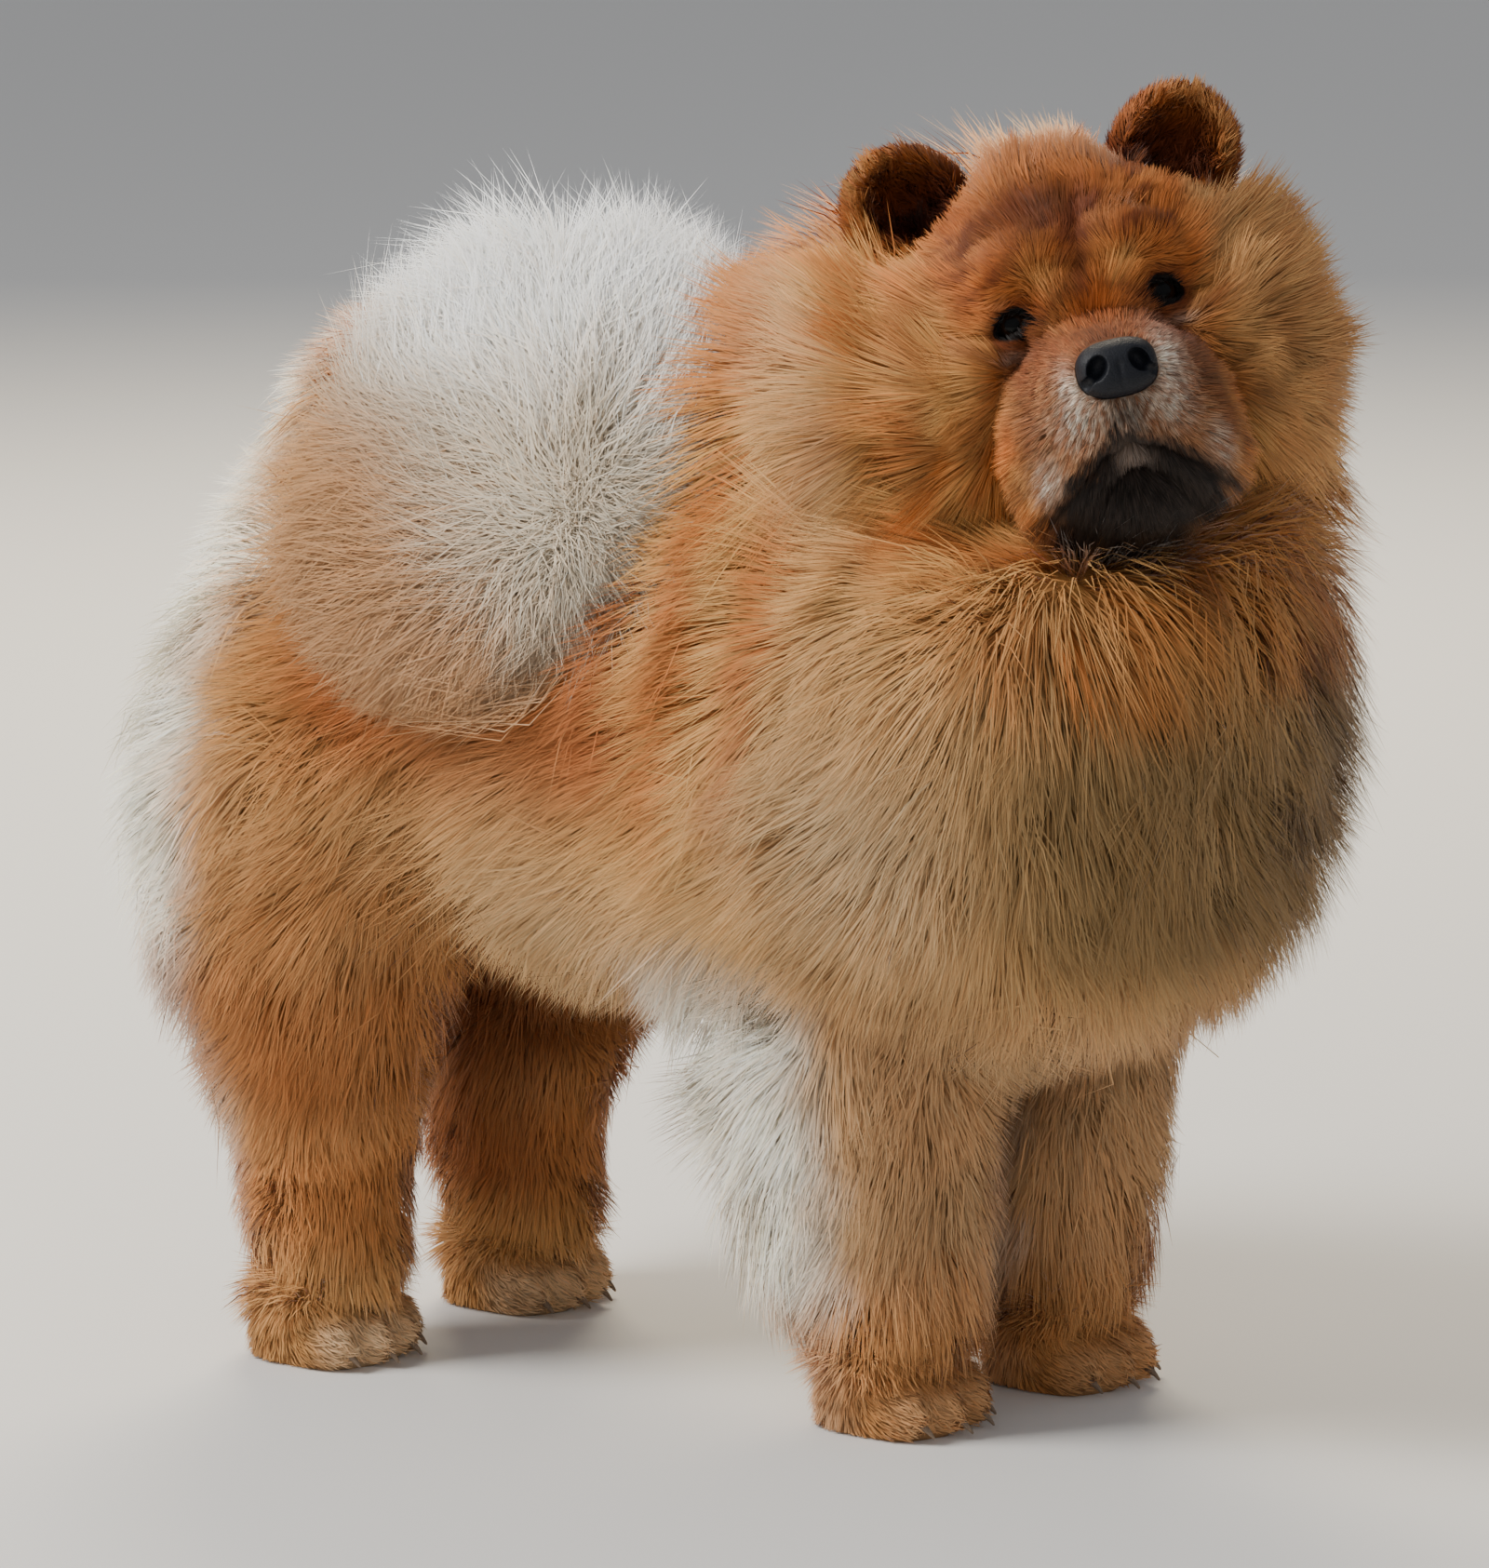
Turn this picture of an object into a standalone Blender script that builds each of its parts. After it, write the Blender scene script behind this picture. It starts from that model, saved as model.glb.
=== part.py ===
"""A life-size chow chow standing still, as a museum model: each part of the body is one named solid.

Metres. +X is the way the body faces, +Y is its left, +Z is up, and the floor is Z 0. A part with a
long coat is a core, about half way out to the tips, with flat tapered locks that rise from it and
lie over one another to the coat's true outline.
"""

import math
import random

import bmesh
import bpy
import numpy as np
from mathutils import Matrix, Vector
from mathutils.bvhtree import BVHTree

# Driving sizes
GAP = 0.0004  # left between solids that touch
CLEAR = 0.0006  # left between locks
RIGHT, LEFT = -1, 1

# The head's own frame: origin midway between the eyes, +X to the nose, +Y to its left ear
HEAD_AT = Vector((0.250, -0.055, 0.589))
HEAD_TURN = math.radians(-53.5)
HEAD_RAISE = math.radians(9)
HEAD_TILT = math.radians(12.5)

EYE_APART = 0.073
EYE_RADIUS = 0.0108
EYE_IN = 0.0035
EYE_OUTWARD = math.radians(14)
EYE_DROOP = math.radians(24)
EYE_LONG = 0.0105
EYE_TALL = 0.0066
LID = 0.0028

NOSE_AT = Vector((0.0745, 0, -0.0330))
MOUTH_LINE = [(-0.0500, -0.100), (-0.0420, -0.096), (-0.0300, -0.085), (-0.0160, -0.0735), (0.0, -0.0675)]
MOUTH_GROOVE = 0.0026
LIP_GROOVE = 0.0012

EAR_AT = Vector((-0.070, 0.069, 0.067))
EAR_RADII = (0.0185, 0.0345, 0.0375)
EAR_SPREAD = math.radians(-32)
EAR_LEAN = math.radians(12)
CUP_AHEAD = Vector((0.021, -0.001, 0.002))
CUP_RADII = (0.024, 0.0245, 0.0275)

# Where each foot stands: (forward, left)
FORE_FEET = {RIGHT: (0.145, -0.060), LEFT: (0.170, 0.068)}
HIND_FEET = {RIGHT: (-0.190, -0.100), LEFT: (-0.172, 0.056)}
TOE = (0.0240, 0.0120, 0.0190)
CLAW = (0.0085, 0.0026, 0.0030)
CLAW_TILT = math.radians(24)
TOE_PLACES = ((-0.0305, 0.014), (-0.0105, 0.025), (0.0105, 0.025), (0.0305, 0.014))

# The plume lies in a plane that leans on the right flank
PLUME_TIP = Vector((0.010, -0.135, 0.468))
PLUME_AWAY = Vector((-0.888, 0.207, 0.414)).normalized()
PLUME_ACROSS = Vector((0.463, 0.397, 0.794)).normalized()
PLUME_OUT = Vector((0, -0.894, 0.447)).normalized()

RED = (0.60, 0.29, 0.10)
GOLD = (0.66, 0.42, 0.21)
CREAM = (0.75, 0.66, 0.54)
BROWN = (0.16, 0.06, 0.025)
SLATE = (0.035, 0.037, 0.045)
EYE_BROWN = (0.03, 0.015, 0.01)


# Surfaces


def head_matrix():
    """From the head's own frame to the model's."""
    turn = Matrix.Rotation(HEAD_TURN, 4, "Z")
    lift = Matrix.Rotation(-HEAD_RAISE, 4, "Y")
    tilt = Matrix.Rotation(HEAD_TILT, 4, "X")
    return Matrix.Translation(HEAD_AT) @ turn @ lift @ tilt


def curve_through(rows, t):
    """A smooth curve through the rows: t runs from 0 at the first to 1 at the last."""
    rows = np.asarray(rows, float)
    last = len(rows) - 1
    place = min(max(t, 0.0), 1.0) * last
    i = min(int(place), last - 1)
    f = place - i
    before, after = rows[max(i - 1, 0)], rows[min(i + 2, last)]
    a, b = rows[i], rows[i + 1]
    slope_a = (b - before) / 2 if i > 0 else b - a
    slope_b = (after - a) / 2 if i + 1 < last else b - a
    from_a = a * (2 * f**3 - 3 * f**2 + 1) + slope_a * (f**3 - 2 * f**2 + f)
    from_b = b * (-2 * f**3 + 3 * f**2) + slope_b * (f**3 - f**2)
    return from_a + from_b


class Form:
    """A closed surface lofted through stations.

    A station is (x, y, z, half width, half height above, half height below): the width lies along
    the side axis and the height along the rise axis. The first and last stations have no width.
    """

    def __init__(self, stations, side=(0, 1, 0), rise=(0, 0, 1), power=2.0, matrix=None):
        self.rows = np.asarray(stations, float)
        self.side = np.asarray(side, float)
        self.rise = np.asarray(rise, float)
        self.power = power
        self.matrix = np.array(matrix) if matrix is not None else np.eye(4)

    def at(self, u, v):
        """The point a share u along, and at the angle v from the side axis towards the rise axis."""
        row = curve_through(self.rows, u)
        c, s = math.cos(v), math.sin(v)
        share = 2 / self.power
        across = math.copysign(abs(c) ** share, c) * max(row[3], 0)
        height = row[4] if s > 0 else row[5]
        along = math.copysign(abs(s) ** share, s) * max(height, 0)
        return row[:3] + self.side * across + self.rise * along

    def normal(self, u, v):
        """The way out of the surface."""
        if u < 1e-4 or u > 1 - 1e-4:
            inside = curve_through(self.rows, 0.02 if u < 0.5 else 0.98)[:3]
            out = curve_through(self.rows, u)[:3] - inside
        else:
            along = self.at(min(u + 0.004, 1), v) - self.at(max(u - 0.004, 0), v)
            around = self.at(u, v + 0.02) - self.at(u, v - 0.02)
            out = np.cross(around, along)
            if np.dot(out, self.at(u, v) - curve_through(self.rows, u)[:3]) < 0:
                out = -out
        return out / max(np.linalg.norm(out), 1e-12)

    def point(self, u, v, lift=0.0):
        """A point on the surface, or lift out of it, in the model's frame."""
        p = self.at(u, v) + self.normal(u, v) * lift
        return Vector(self.matrix[:3, :3] @ p + self.matrix[:3, 3])

    def inner(self, side, above, below, pull):
        """The same form with its half sizes less by these depths, and its two ends pulled in."""
        rows = self.rows.copy()
        middle = (rows[0, :3] + rows[-1, :3]) / 2
        length = np.linalg.norm(rows[-1, :3] - rows[0, :3])
        rows[:, :3] = middle + (rows[:, :3] - middle) * (1 - 2 * pull / length)
        for column, depth in ((3, side), (4, above), (5, below)):
            sizes = self.rows[:, column]
            rows[:, column] = np.maximum(sizes - depth, 0.4 * sizes)
        return Form(rows, self.side, self.rise, self.power, self.matrix)

    def mesh(self, name, rings, sides, lift=0.0):
        """A closed mesh object of the surface, grown by lift."""
        bm = bmesh.new()
        loops = [[bm.verts.new(self.point(0, 0, lift))]]
        for i in range(1, rings):
            u = i / rings
            loops.append([bm.verts.new(self.point(u, math.tau * k / sides, lift)) for k in range(sides)])
        loops.append([bm.verts.new(self.point(1, 0, lift))])
        skin_loops(bm, loops)
        return object_from(name, bm)


def skin_loops(bm, loops):
    """Faces between loops of vertices. A loop of one vertex is a point."""
    for a, b in zip(loops, loops[1:]):
        count = max(len(a), len(b))
        for k in range(count):
            j = (k + 1) % count
            corners = [a[k % len(a)], b[k % len(b)], b[j % len(b)], a[j % len(a)]]
            bm.faces.new(list(dict.fromkeys(corners)))


def object_from(name, bm):
    """An object of the bmesh, its faces pointing out."""
    bmesh.ops.triangulate(bm, faces=bm.faces)
    bmesh.ops.recalc_face_normals(bm, faces=bm.faces)
    mesh = bpy.data.meshes.new(name)
    bm.to_mesh(mesh)
    bm.free()
    obj = bpy.data.objects.new(name, mesh)
    bpy.context.scene.collection.objects.link(obj)
    return obj


def ellipsoid(centre, radii, matrix=None, segments=14, rings=8, turn=None):
    """A closed ellipsoid, its radii along the frame's own axes, or turned from them."""
    bm = bmesh.new()
    bmesh.ops.create_uvsphere(bm, u_segments=segments, v_segments=rings, radius=1.0)
    shape = (turn or Matrix.Identity(4)) @ Matrix.Diagonal((*radii, 1.0))
    bm.transform((matrix or Matrix.Identity(4)) @ Matrix.Translation(Vector(centre)) @ shape)
    return object_from("ellipsoid", bm)


def tube(points, radius, matrix=None, sides=5):
    """A closed tube along the points, with pointed ends."""
    points = [(matrix or Matrix.Identity(4)) @ Vector(p) for p in points]
    bm = bmesh.new()
    first = (points[1] - points[0]).normalized()
    last = (points[-1] - points[-2]).normalized()
    loops = [[bm.verts.new(points[0] - first * radius)]]
    across = first.orthogonal().normalized()
    for i, point in enumerate(points):
        ahead = (points[min(i + 1, len(points) - 1)] - points[max(i - 1, 0)]).normalized()
        across = (across - ahead * across.dot(ahead)).normalized()
        over = ahead.cross(across)
        ring = []
        for k in range(sides):
            angle = math.tau * k / sides
            ring.append(bm.verts.new(point + (across * math.cos(angle) + over * math.sin(angle)) * radius))
        loops.append(ring)
    loops.append([bm.verts.new(points[-1] + last * radius)])
    skin_loops(bm, loops)
    return object_from("tube", bm)


# Joining and cutting


def boolean(target, others, operation, solver="EXACT"):
    """Joins the others to the target, or cuts them from it, and removes them."""
    group = bpy.data.collections.new("operands")
    bpy.context.scene.collection.children.link(group)
    for other in others:
        bpy.context.scene.collection.objects.unlink(other)
        group.objects.link(other)
    modifier = target.modifiers.new("boolean", "BOOLEAN")
    modifier.operation = operation
    modifier.operand_type = "COLLECTION"
    modifier.collection = group
    modifier.solver = solver
    bpy.context.view_layer.update()
    graph = bpy.context.evaluated_depsgraph_get()
    mesh = bpy.data.meshes.new_from_object(target.evaluated_get(graph))
    target.modifiers.clear()
    target.data = mesh
    for other in others:
        bpy.data.objects.remove(other)
    bpy.data.collections.remove(group)
    return target


def keep_largest(obj):
    """Keeps only the largest closed surface, so that no sealed hollow or loose scrap is left."""
    bm = bmesh.new()
    bm.from_mesh(obj.data)
    seen = set()
    islands = []
    for start in bm.verts:
        if start in seen:
            continue
        island, front = [], [start]
        seen.add(start)
        while front:
            vertex = front.pop()
            island.append(vertex)
            for edge in vertex.link_edges:
                other = edge.other_vert(vertex)
                if other not in seen:
                    seen.add(other)
                    front.append(other)
        islands.append(island)

    def spread(island):
        points = np.array([v.co for v in island])
        return float(np.prod(points.max(axis=0) - points.min(axis=0) + 1e-6))

    islands.sort(key=spread)
    bmesh.ops.delete(bm, geom=[v for island in islands[:-1] for v in island], context="VERTS")
    bm.to_mesh(obj.data)
    bm.free()
    return obj


def tree_of(obj):
    """A search tree of the object's faces."""
    bm = bmesh.new()
    bm.from_mesh(obj.data)
    tree = BVHTree.FromBMesh(bm)
    bm.free()
    return tree


def is_inside(tree, point):
    """Whether a line from the point crosses the surface an odd number of times."""
    way = Vector((0.31, 0.17, 0.93)).normalized()
    crossings = 0
    place, _, _, _ = tree.ray_cast(point, way)
    while place is not None:
        crossings += 1
        place, _, _, _ = tree.ray_cast(place + way * 1e-5, way)
    return crossings % 2 == 1


# The coat's surface, out to its tips, one form for each part of the body


def torso_coat():
    return Form(
        [
            (0.346, -0.003, 0.450, 0.000, 0.000, 0.000),
            (0.340, -0.003, 0.444, 0.082, 0.052, 0.120),
            (0.314, -0.002, 0.426, 0.140, 0.086, 0.192),
            (0.252, 0.000, 0.398, 0.178, 0.122, 0.204),
            (0.150, 0.000, 0.374, 0.187, 0.160, 0.190),
            (0.050, 0.000, 0.368, 0.180, 0.170, 0.178),
            (-0.060, -0.004, 0.370, 0.168, 0.164, 0.172),
            (-0.150, -0.010, 0.374, 0.162, 0.156, 0.160),
            (-0.215, -0.014, 0.380, 0.146, 0.138, 0.146),
            (-0.262, -0.016, 0.385, 0.108, 0.104, 0.116),
            (-0.292, -0.018, 0.388, 0.060, 0.058, 0.068),
            (-0.302, -0.018, 0.388, 0.000, 0.000, 0.000),
        ],
        power=2.5,
    )


def neck_coat():
    """The ruff, a collar of coat behind the face, and the mane that it runs into."""
    side = Matrix.Rotation(HEAD_TURN * 0.62, 3, "Z") @ Vector((0, 1, 0))
    return Form(
        [
            (0.238, -0.042, 0.545, 0.000, 0.000, 0.000),
            (0.236, -0.040, 0.545, 0.092, 0.045, 0.085),
            (0.228, -0.032, 0.545, 0.140, 0.080, 0.145),
            (0.208, -0.014, 0.540, 0.168, 0.126, 0.184),
            (0.172, 0.006, 0.524, 0.180, 0.172, 0.196),
            (0.120, 0.016, 0.492, 0.177, 0.178, 0.184),
            (0.070, 0.014, 0.455, 0.155, 0.152, 0.155),
            (0.025, 0.010, 0.428, 0.100, 0.100, 0.105),
            (0.005, 0.008, 0.418, 0.000, 0.000, 0.000),
        ],
        side=side,
    )


def thigh_coat(side):
    x, y = HIND_FEET[side]
    y += 0.012 * side
    return Form(
        [
            (x + 0.005, y, 0.470, 0.000, 0.000, 0.000),
            (x + 0.003, y, 0.462, 0.042, 0.050, 0.040),
            (x - 0.002, y, 0.430, 0.066, 0.090, 0.066),
            (x - 0.005, y, 0.370, 0.079, 0.120, 0.096),
            (x - 0.004, y, 0.300, 0.082, 0.118, 0.116),
            (x - 0.002, y, 0.235, 0.076, 0.098, 0.116),
            (x, y, 0.180, 0.064, 0.076, 0.093),
            (x + 0.002, y, 0.140, 0.054, 0.060, 0.066),
            (x + 0.002, y, 0.118, 0.034, 0.042, 0.044),
            (x + 0.002, y, 0.112, 0.000, 0.000, 0.000),
        ],
        rise=(1, 0, 0),
    )


def hindleg_coat(side):
    """From the hock to the foot."""
    x, y = HIND_FEET[side]
    return Form(
        [
            (x + 0.002, y, 0.200, 0.000, 0.000, 0.000),
            (x + 0.002, y, 0.192, 0.032, 0.038, 0.040),
            (x + 0.002, y, 0.160, 0.050, 0.058, 0.062),
            (x, y, 0.120, 0.048, 0.050, 0.060),
            (x, y, 0.080, 0.045, 0.046, 0.058),
            (x + 0.002, y, 0.050, 0.042, 0.044, 0.053),
            (x + 0.004, y, 0.028, 0.030, 0.032, 0.036),
            (x + 0.004, y, 0.020, 0.000, 0.000, 0.000),
        ],
        rise=(1, 0, 0),
    )


def foreleg_coat(side):
    x, y = FORE_FEET[side]
    return Form(
        [
            (x - 0.010, y + 0.020 * side, 0.350, 0.000, 0.000, 0.000),
            (x - 0.010, y + 0.020 * side, 0.340, 0.042, 0.050, 0.050),
            (x - 0.008, y + 0.018 * side, 0.300, 0.062, 0.078, 0.086),
            (x - 0.004, y + 0.013 * side, 0.245, 0.067, 0.080, 0.110),
            (x - 0.002, y + 0.006 * side, 0.190, 0.060, 0.064, 0.130),
            (x, y, 0.130, 0.050, 0.052, 0.134),
            (x, y, 0.080, 0.043, 0.045, 0.104),
            (x + 0.001, y, 0.048, 0.040, 0.042, 0.058),
            (x + 0.002, y, 0.028, 0.028, 0.030, 0.034),
            (x + 0.002, y, 0.020, 0.000, 0.000, 0.000),
        ],
        rise=(1, 0, 0),
    )


# The plume's depth of locks, over its faces and round its edge
PLUME_CORE_ABOVE = 0.020
PLUME_CORE_SIDE = 0.050
# Stations of the plume: (distance from its tip, half width, half height of its outer and inner face)
PLUME = [
    (-0.034, 0.000, 0.000, 0.000),
    (-0.030, 0.060, 0.018, 0.030),
    (-0.008, 0.112, 0.034, 0.045),
    (0.040, 0.148, 0.046, 0.055),
    (0.090, 0.154, 0.050, 0.060),
    (0.140, 0.152, 0.046, 0.055),
    (0.188, 0.136, 0.034, 0.040),
    (0.218, 0.090, 0.020, 0.024),
    (0.226, 0.000, 0.000, 0.000),
]


def plume_coat():
    rows = [(*(PLUME_TIP + PLUME_AWAY * s), *sizes) for s, *sizes in PLUME]
    return Form(rows, side=PLUME_ACROSS, rise=PLUME_OUT)


def tail_root_coat():
    """The root of the tail, up from the croup and forward into the plume."""
    return Form(
        [
            (-0.208, -0.020, 0.410, 0.000, 0.000, 0.000),
            (-0.212, -0.020, 0.420, 0.045, 0.028, 0.028),
            (-0.222, -0.024, 0.458, 0.064, 0.042, 0.042),
            (-0.205, -0.034, 0.500, 0.072, 0.052, 0.052),
            (-0.160, -0.050, 0.530, 0.068, 0.054, 0.054),
            (-0.110, -0.070, 0.545, 0.040, 0.035, 0.035),
            (-0.095, -0.075, 0.545, 0.000, 0.000, 0.000),
        ],
        rise=Vector((-0.707, 0, 0.707)),
    )


# The head


def cranium_form():
    return Form(
        [
            (0.027, 0, -0.014, 0.000, 0.000, 0.000),
            (0.024, 0, -0.014, 0.036, 0.030, 0.040),
            (0.011, 0, -0.014, 0.068, 0.058, 0.074),
            (-0.018, 0, -0.014, 0.095, 0.082, 0.098),
            (-0.058, 0, -0.014, 0.110, 0.095, 0.108),
            (-0.100, 0, -0.016, 0.104, 0.092, 0.102),
            (-0.138, 0, -0.020, 0.076, 0.070, 0.074),
            (-0.157, 0, -0.020, 0.038, 0.036, 0.036),
            (-0.162, 0, -0.020, 0.000, 0.000, 0.000),
        ],
        matrix=head_matrix(),
    )


def cheek_coat():
    """The long coat that stands out round the face, from the cheeks and the crown."""
    longer = {3: 0.038, 4: 0.026, 5: 0.044}
    form = cranium_form()
    for column, length in longer.items():
        form.rows[2:-2, column] += length
        form.rows[[1, -2], column] += length * 0.6
    return form


def muzzle_form():
    """The bridge of the nose and the front of the muzzle under it."""
    return Form(
        [
            (-0.030, 0, -0.044, 0.000, 0.000, 0.000),
            (-0.026, 0, -0.044, 0.040, 0.026, 0.040),
            (0.005, 0, -0.046, 0.050, 0.036, 0.050),
            (0.036, 0, -0.048, 0.047, 0.036, 0.046),
            (0.058, 0, -0.048, 0.041, 0.033, 0.036),
            (0.073, 0, -0.046, 0.032, 0.027, 0.027),
            (0.082, 0, -0.043, 0.018, 0.016, 0.016),
            (0.084, 0, -0.042, 0.000, 0.000, 0.000),
        ],
        power=2.4,
        matrix=head_matrix(),
    )


def nose_form():
    """The leather pad: broad above, narrower below."""
    x, y, z = NOSE_AT
    return Form(
        [
            (x - 0.0120, y, z, 0.0000, 0.0000, 0.0000),
            (x - 0.0110, y, z, 0.0150, 0.0110, 0.0110),
            (x - 0.0020, y, z, 0.0195, 0.0140, 0.0140),
            (x + 0.0070, y, z, 0.0200, 0.0140, 0.0145),
            (x + 0.0135, y, z - 0.0010, 0.0165, 0.0115, 0.0115),
            (x + 0.0165, y, z - 0.0015, 0.0095, 0.0065, 0.0065),
            (x + 0.0172, y, z - 0.0015, 0.0000, 0.0000, 0.0000),
        ],
        power=2.6,
        matrix=head_matrix(),
    )


def whole_head(grow=0.0):
    """The skull with the muzzle, lips, brows, cheeks, the folds under the eyes and the jaw."""
    pieces = [muzzle_form().mesh("muzzle", 8, 14, grow)]

    def lump(centre, radii, segments=10, rings=6):
        pieces.append(ellipsoid(centre, [r + grow for r in radii], head_matrix(), segments, rings))

    for side in (RIGHT, LEFT):
        lump((0.036, 0.023 * side, -0.066), (0.040, 0.030, 0.038))
        lump((0.005, 0.026 * side, 0.022), (0.021, 0.024, 0.018), 10, 6)
        lump((-0.016, 0.069 * side, -0.042), (0.037, 0.036, 0.050))
        lump((0.003, 0.050 * side, -0.026), (0.019, 0.019, 0.026), 8, 5)
    lump((0.026, 0, -0.090), (0.043, 0.034, 0.024))
    return boolean(cranium_form().mesh("head", 10, 16, grow), pieces, "UNION")


def eye_centre(side):
    return Vector((EYE_IN, side * EYE_APART / 2, 0))


def eye_turn(side):
    """The opening faces a little outward, and its outer corner hangs lower."""
    return Matrix.Rotation(EYE_OUTWARD * side, 4, "Z") @ Matrix.Rotation(-EYE_DROOP * side, 4, "X")


def eyeball(side, grow=0.0):
    radius = EYE_RADIUS + grow
    return ellipsoid(eye_centre(side), (radius, radius, radius), head_matrix(), 12, 8)


def almond(side, scale, ahead, count=12):
    """Points round the eye's opening, at a distance ahead of the eye's centre."""
    points = []
    for k in range(count):
        angle = math.tau * k / count
        wide = math.cos(angle) * EYE_LONG * scale
        tall = math.sin(angle) * EYE_TALL * scale
        points.append(eye_centre(side) + eye_turn(side) @ Vector((ahead, wide, tall)))
    return points


def lids(side):
    """The upper and the lower lid, each a tube along one half of the opening."""
    ring = almond(side, 1.18, EYE_RADIUS * 0.86)
    half = len(ring) // 2
    upper, lower = ring[: half + 1], ring[half:] + ring[:1]
    return [tube(line, LID, head_matrix()) for line in (upper, lower)]


def lid_opening(side):
    """A prism through the lids, wider at its mouth."""
    bm = bmesh.new()
    loops = [[bm.verts.new(head_matrix() @ (eye_centre(side) + eye_turn(side) @ Vector((-0.002, 0, 0))))]]
    for ahead, scale in ((0.0, 1.0), (0.014, 1.0), (0.030, 2.2)):
        loops.append([bm.verts.new(head_matrix() @ p) for p in almond(side, scale, ahead)])
    loops.append([bm.verts.new(head_matrix() @ (eye_centre(side) + eye_turn(side) @ Vector((0.032, 0, 0))))])
    skin_loops(bm, loops)
    return object_from("opening", bm)


def on_face(obj, line, sink):
    """The line of (left, up) places laid on the front of the face, sunk by a depth."""
    matrix = head_matrix()
    way = (matrix.to_3x3() @ Vector((-1, 0, 0))).normalized()
    points = []
    for y, z in line:
        hit, place, _, _ = obj.ray_cast(matrix @ Vector((0.3, y, z)), way)
        if hit:
            points.append(((matrix.inverted() @ place).x - sink, y, z))
    return points


def mouth_line(count=13):
    """The mouth, an arch that is highest under the nose and runs down to both corners."""
    other_half = [(-y, z) for y, z in MOUTH_LINE[-2::-1]]
    whole = MOUTH_LINE + other_half
    return [tuple(curve_through(whole, i / (count - 1))) for i in range(count)]


def make_head():
    """The head, its lids raised, then its mouth, sockets and the nose's seat cut."""
    head = boolean(whole_head(), lids(RIGHT) + lids(LEFT), "UNION")
    mouth = tube(on_face(head, mouth_line(), 0.0006), MOUTH_GROOVE, head_matrix())
    under_nose = [(0, -0.046), (0, -0.053), (0, -0.060), (0, -0.0675)]
    parting = tube(on_face(head, under_nose, 0.0002), LIP_GROOVE, head_matrix())
    cuts = [mouth, parting, nose_form().mesh("seat", 7, 12, GAP)]
    for side in (RIGHT, LEFT):
        cuts += [eyeball(side, GAP), lid_opening(side)]
    return boolean(head, cuts, "DIFFERENCE")


def make_nose():
    """The pad with its nostrils, their side slits and the groove between them."""
    x, y, z = NOSE_AT
    cuts = []
    for side in (RIGHT, LEFT):
        inner = (x + 0.0155, y + 0.0075 * side, z - 0.0005)
        cuts.append(ellipsoid(inner, (0.0075, 0.0040, 0.0046), head_matrix(), 8, 5))
        slit = [
            (x + 0.0140, y + 0.0090 * side, z - 0.0010),
            (x + 0.0125, y + 0.0135 * side, z - 0.0045),
            (x + 0.0080, y + 0.0185 * side, z - 0.0065),
        ]
        cuts.append(tube(slit, 0.0018, head_matrix()))
    groove = [(x + 0.0175, y, z + 0.004), (x + 0.0180, y, z - 0.004), (x + 0.0150, y, z - 0.014)]
    cuts.append(tube(groove, 0.0009, head_matrix()))
    return boolean(nose_form().mesh("nose", 7, 12), cuts, "DIFFERENCE")


def ear_shell(side, grow=0.0):
    """A thick rounded ear that leans forward and outward."""
    turn = Matrix.Rotation(EAR_SPREAD * side, 4, "X") @ Matrix.Rotation(EAR_LEAN, 4, "Y")
    centre = Vector((EAR_AT.x, EAR_AT.y * side, EAR_AT.z))
    return ellipsoid(centre, [r + grow for r in EAR_RADII], head_matrix(), 14, 8, turn)


def ear_cup(side):
    turn = Matrix.Rotation(EAR_SPREAD * side, 4, "X") @ Matrix.Rotation(EAR_LEAN, 4, "Y")
    ahead = Vector((CUP_AHEAD.x, CUP_AHEAD.y * side, CUP_AHEAD.z))
    centre = Vector((EAR_AT.x, EAR_AT.y * side, EAR_AT.z)) + ahead
    return ellipsoid(centre, CUP_RADII, head_matrix(), 12, 8, turn)


# The feet


def pad_form(foot):
    """The heel and the middle of a round, cat-like foot."""
    x, y = foot
    return Form(
        [
            (x - 0.044, y, 0.014, 0.000, 0.000, 0.000),
            (x - 0.041, y, 0.014, 0.020, 0.018, 0.020),
            (x - 0.028, y, 0.016, 0.036, 0.032, 0.030),
            (x, y, 0.018, 0.042, 0.034, 0.034),
            (x + 0.018, y, 0.017, 0.040, 0.026, 0.032),
            (x + 0.034, y, 0.015, 0.030, 0.018, 0.024),
            (x + 0.041, y, 0.013, 0.000, 0.000, 0.000),
        ],
        power=2.5,
    )


def below_floor():
    bm = bmesh.new()
    bmesh.ops.create_cube(bm, size=1.0)
    bm.transform(Matrix.Translation((0, 0, -0.5)) @ Matrix.Diagonal((3, 3, 1, 1)))
    return object_from("below_floor", bm)


def make_paw(foot, grow=0.0):
    """The pad, and four toes ahead of it with their claws, cut flat by the floor."""
    x, y = foot
    pieces = []
    for across, ahead in TOE_PLACES:
        toe = [r + grow for r in TOE]
        claw = [r + grow for r in CLAW]
        pieces.append(ellipsoid((x + ahead, y + across, 0.014), toe, None, 7, 4))
        claw_at = (x + ahead + TOE[0], y + across, 0.0085)
        pieces.append(ellipsoid(claw_at, claw, None, 4, 3, Matrix.Rotation(CLAW_TILT, 4, "Y")))
    paw = boolean(pad_form(foot).mesh("paw", 6, 11, grow), pieces, "UNION")
    return boolean(paw, [below_floor()], "DIFFERENCE")


# The locks

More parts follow.
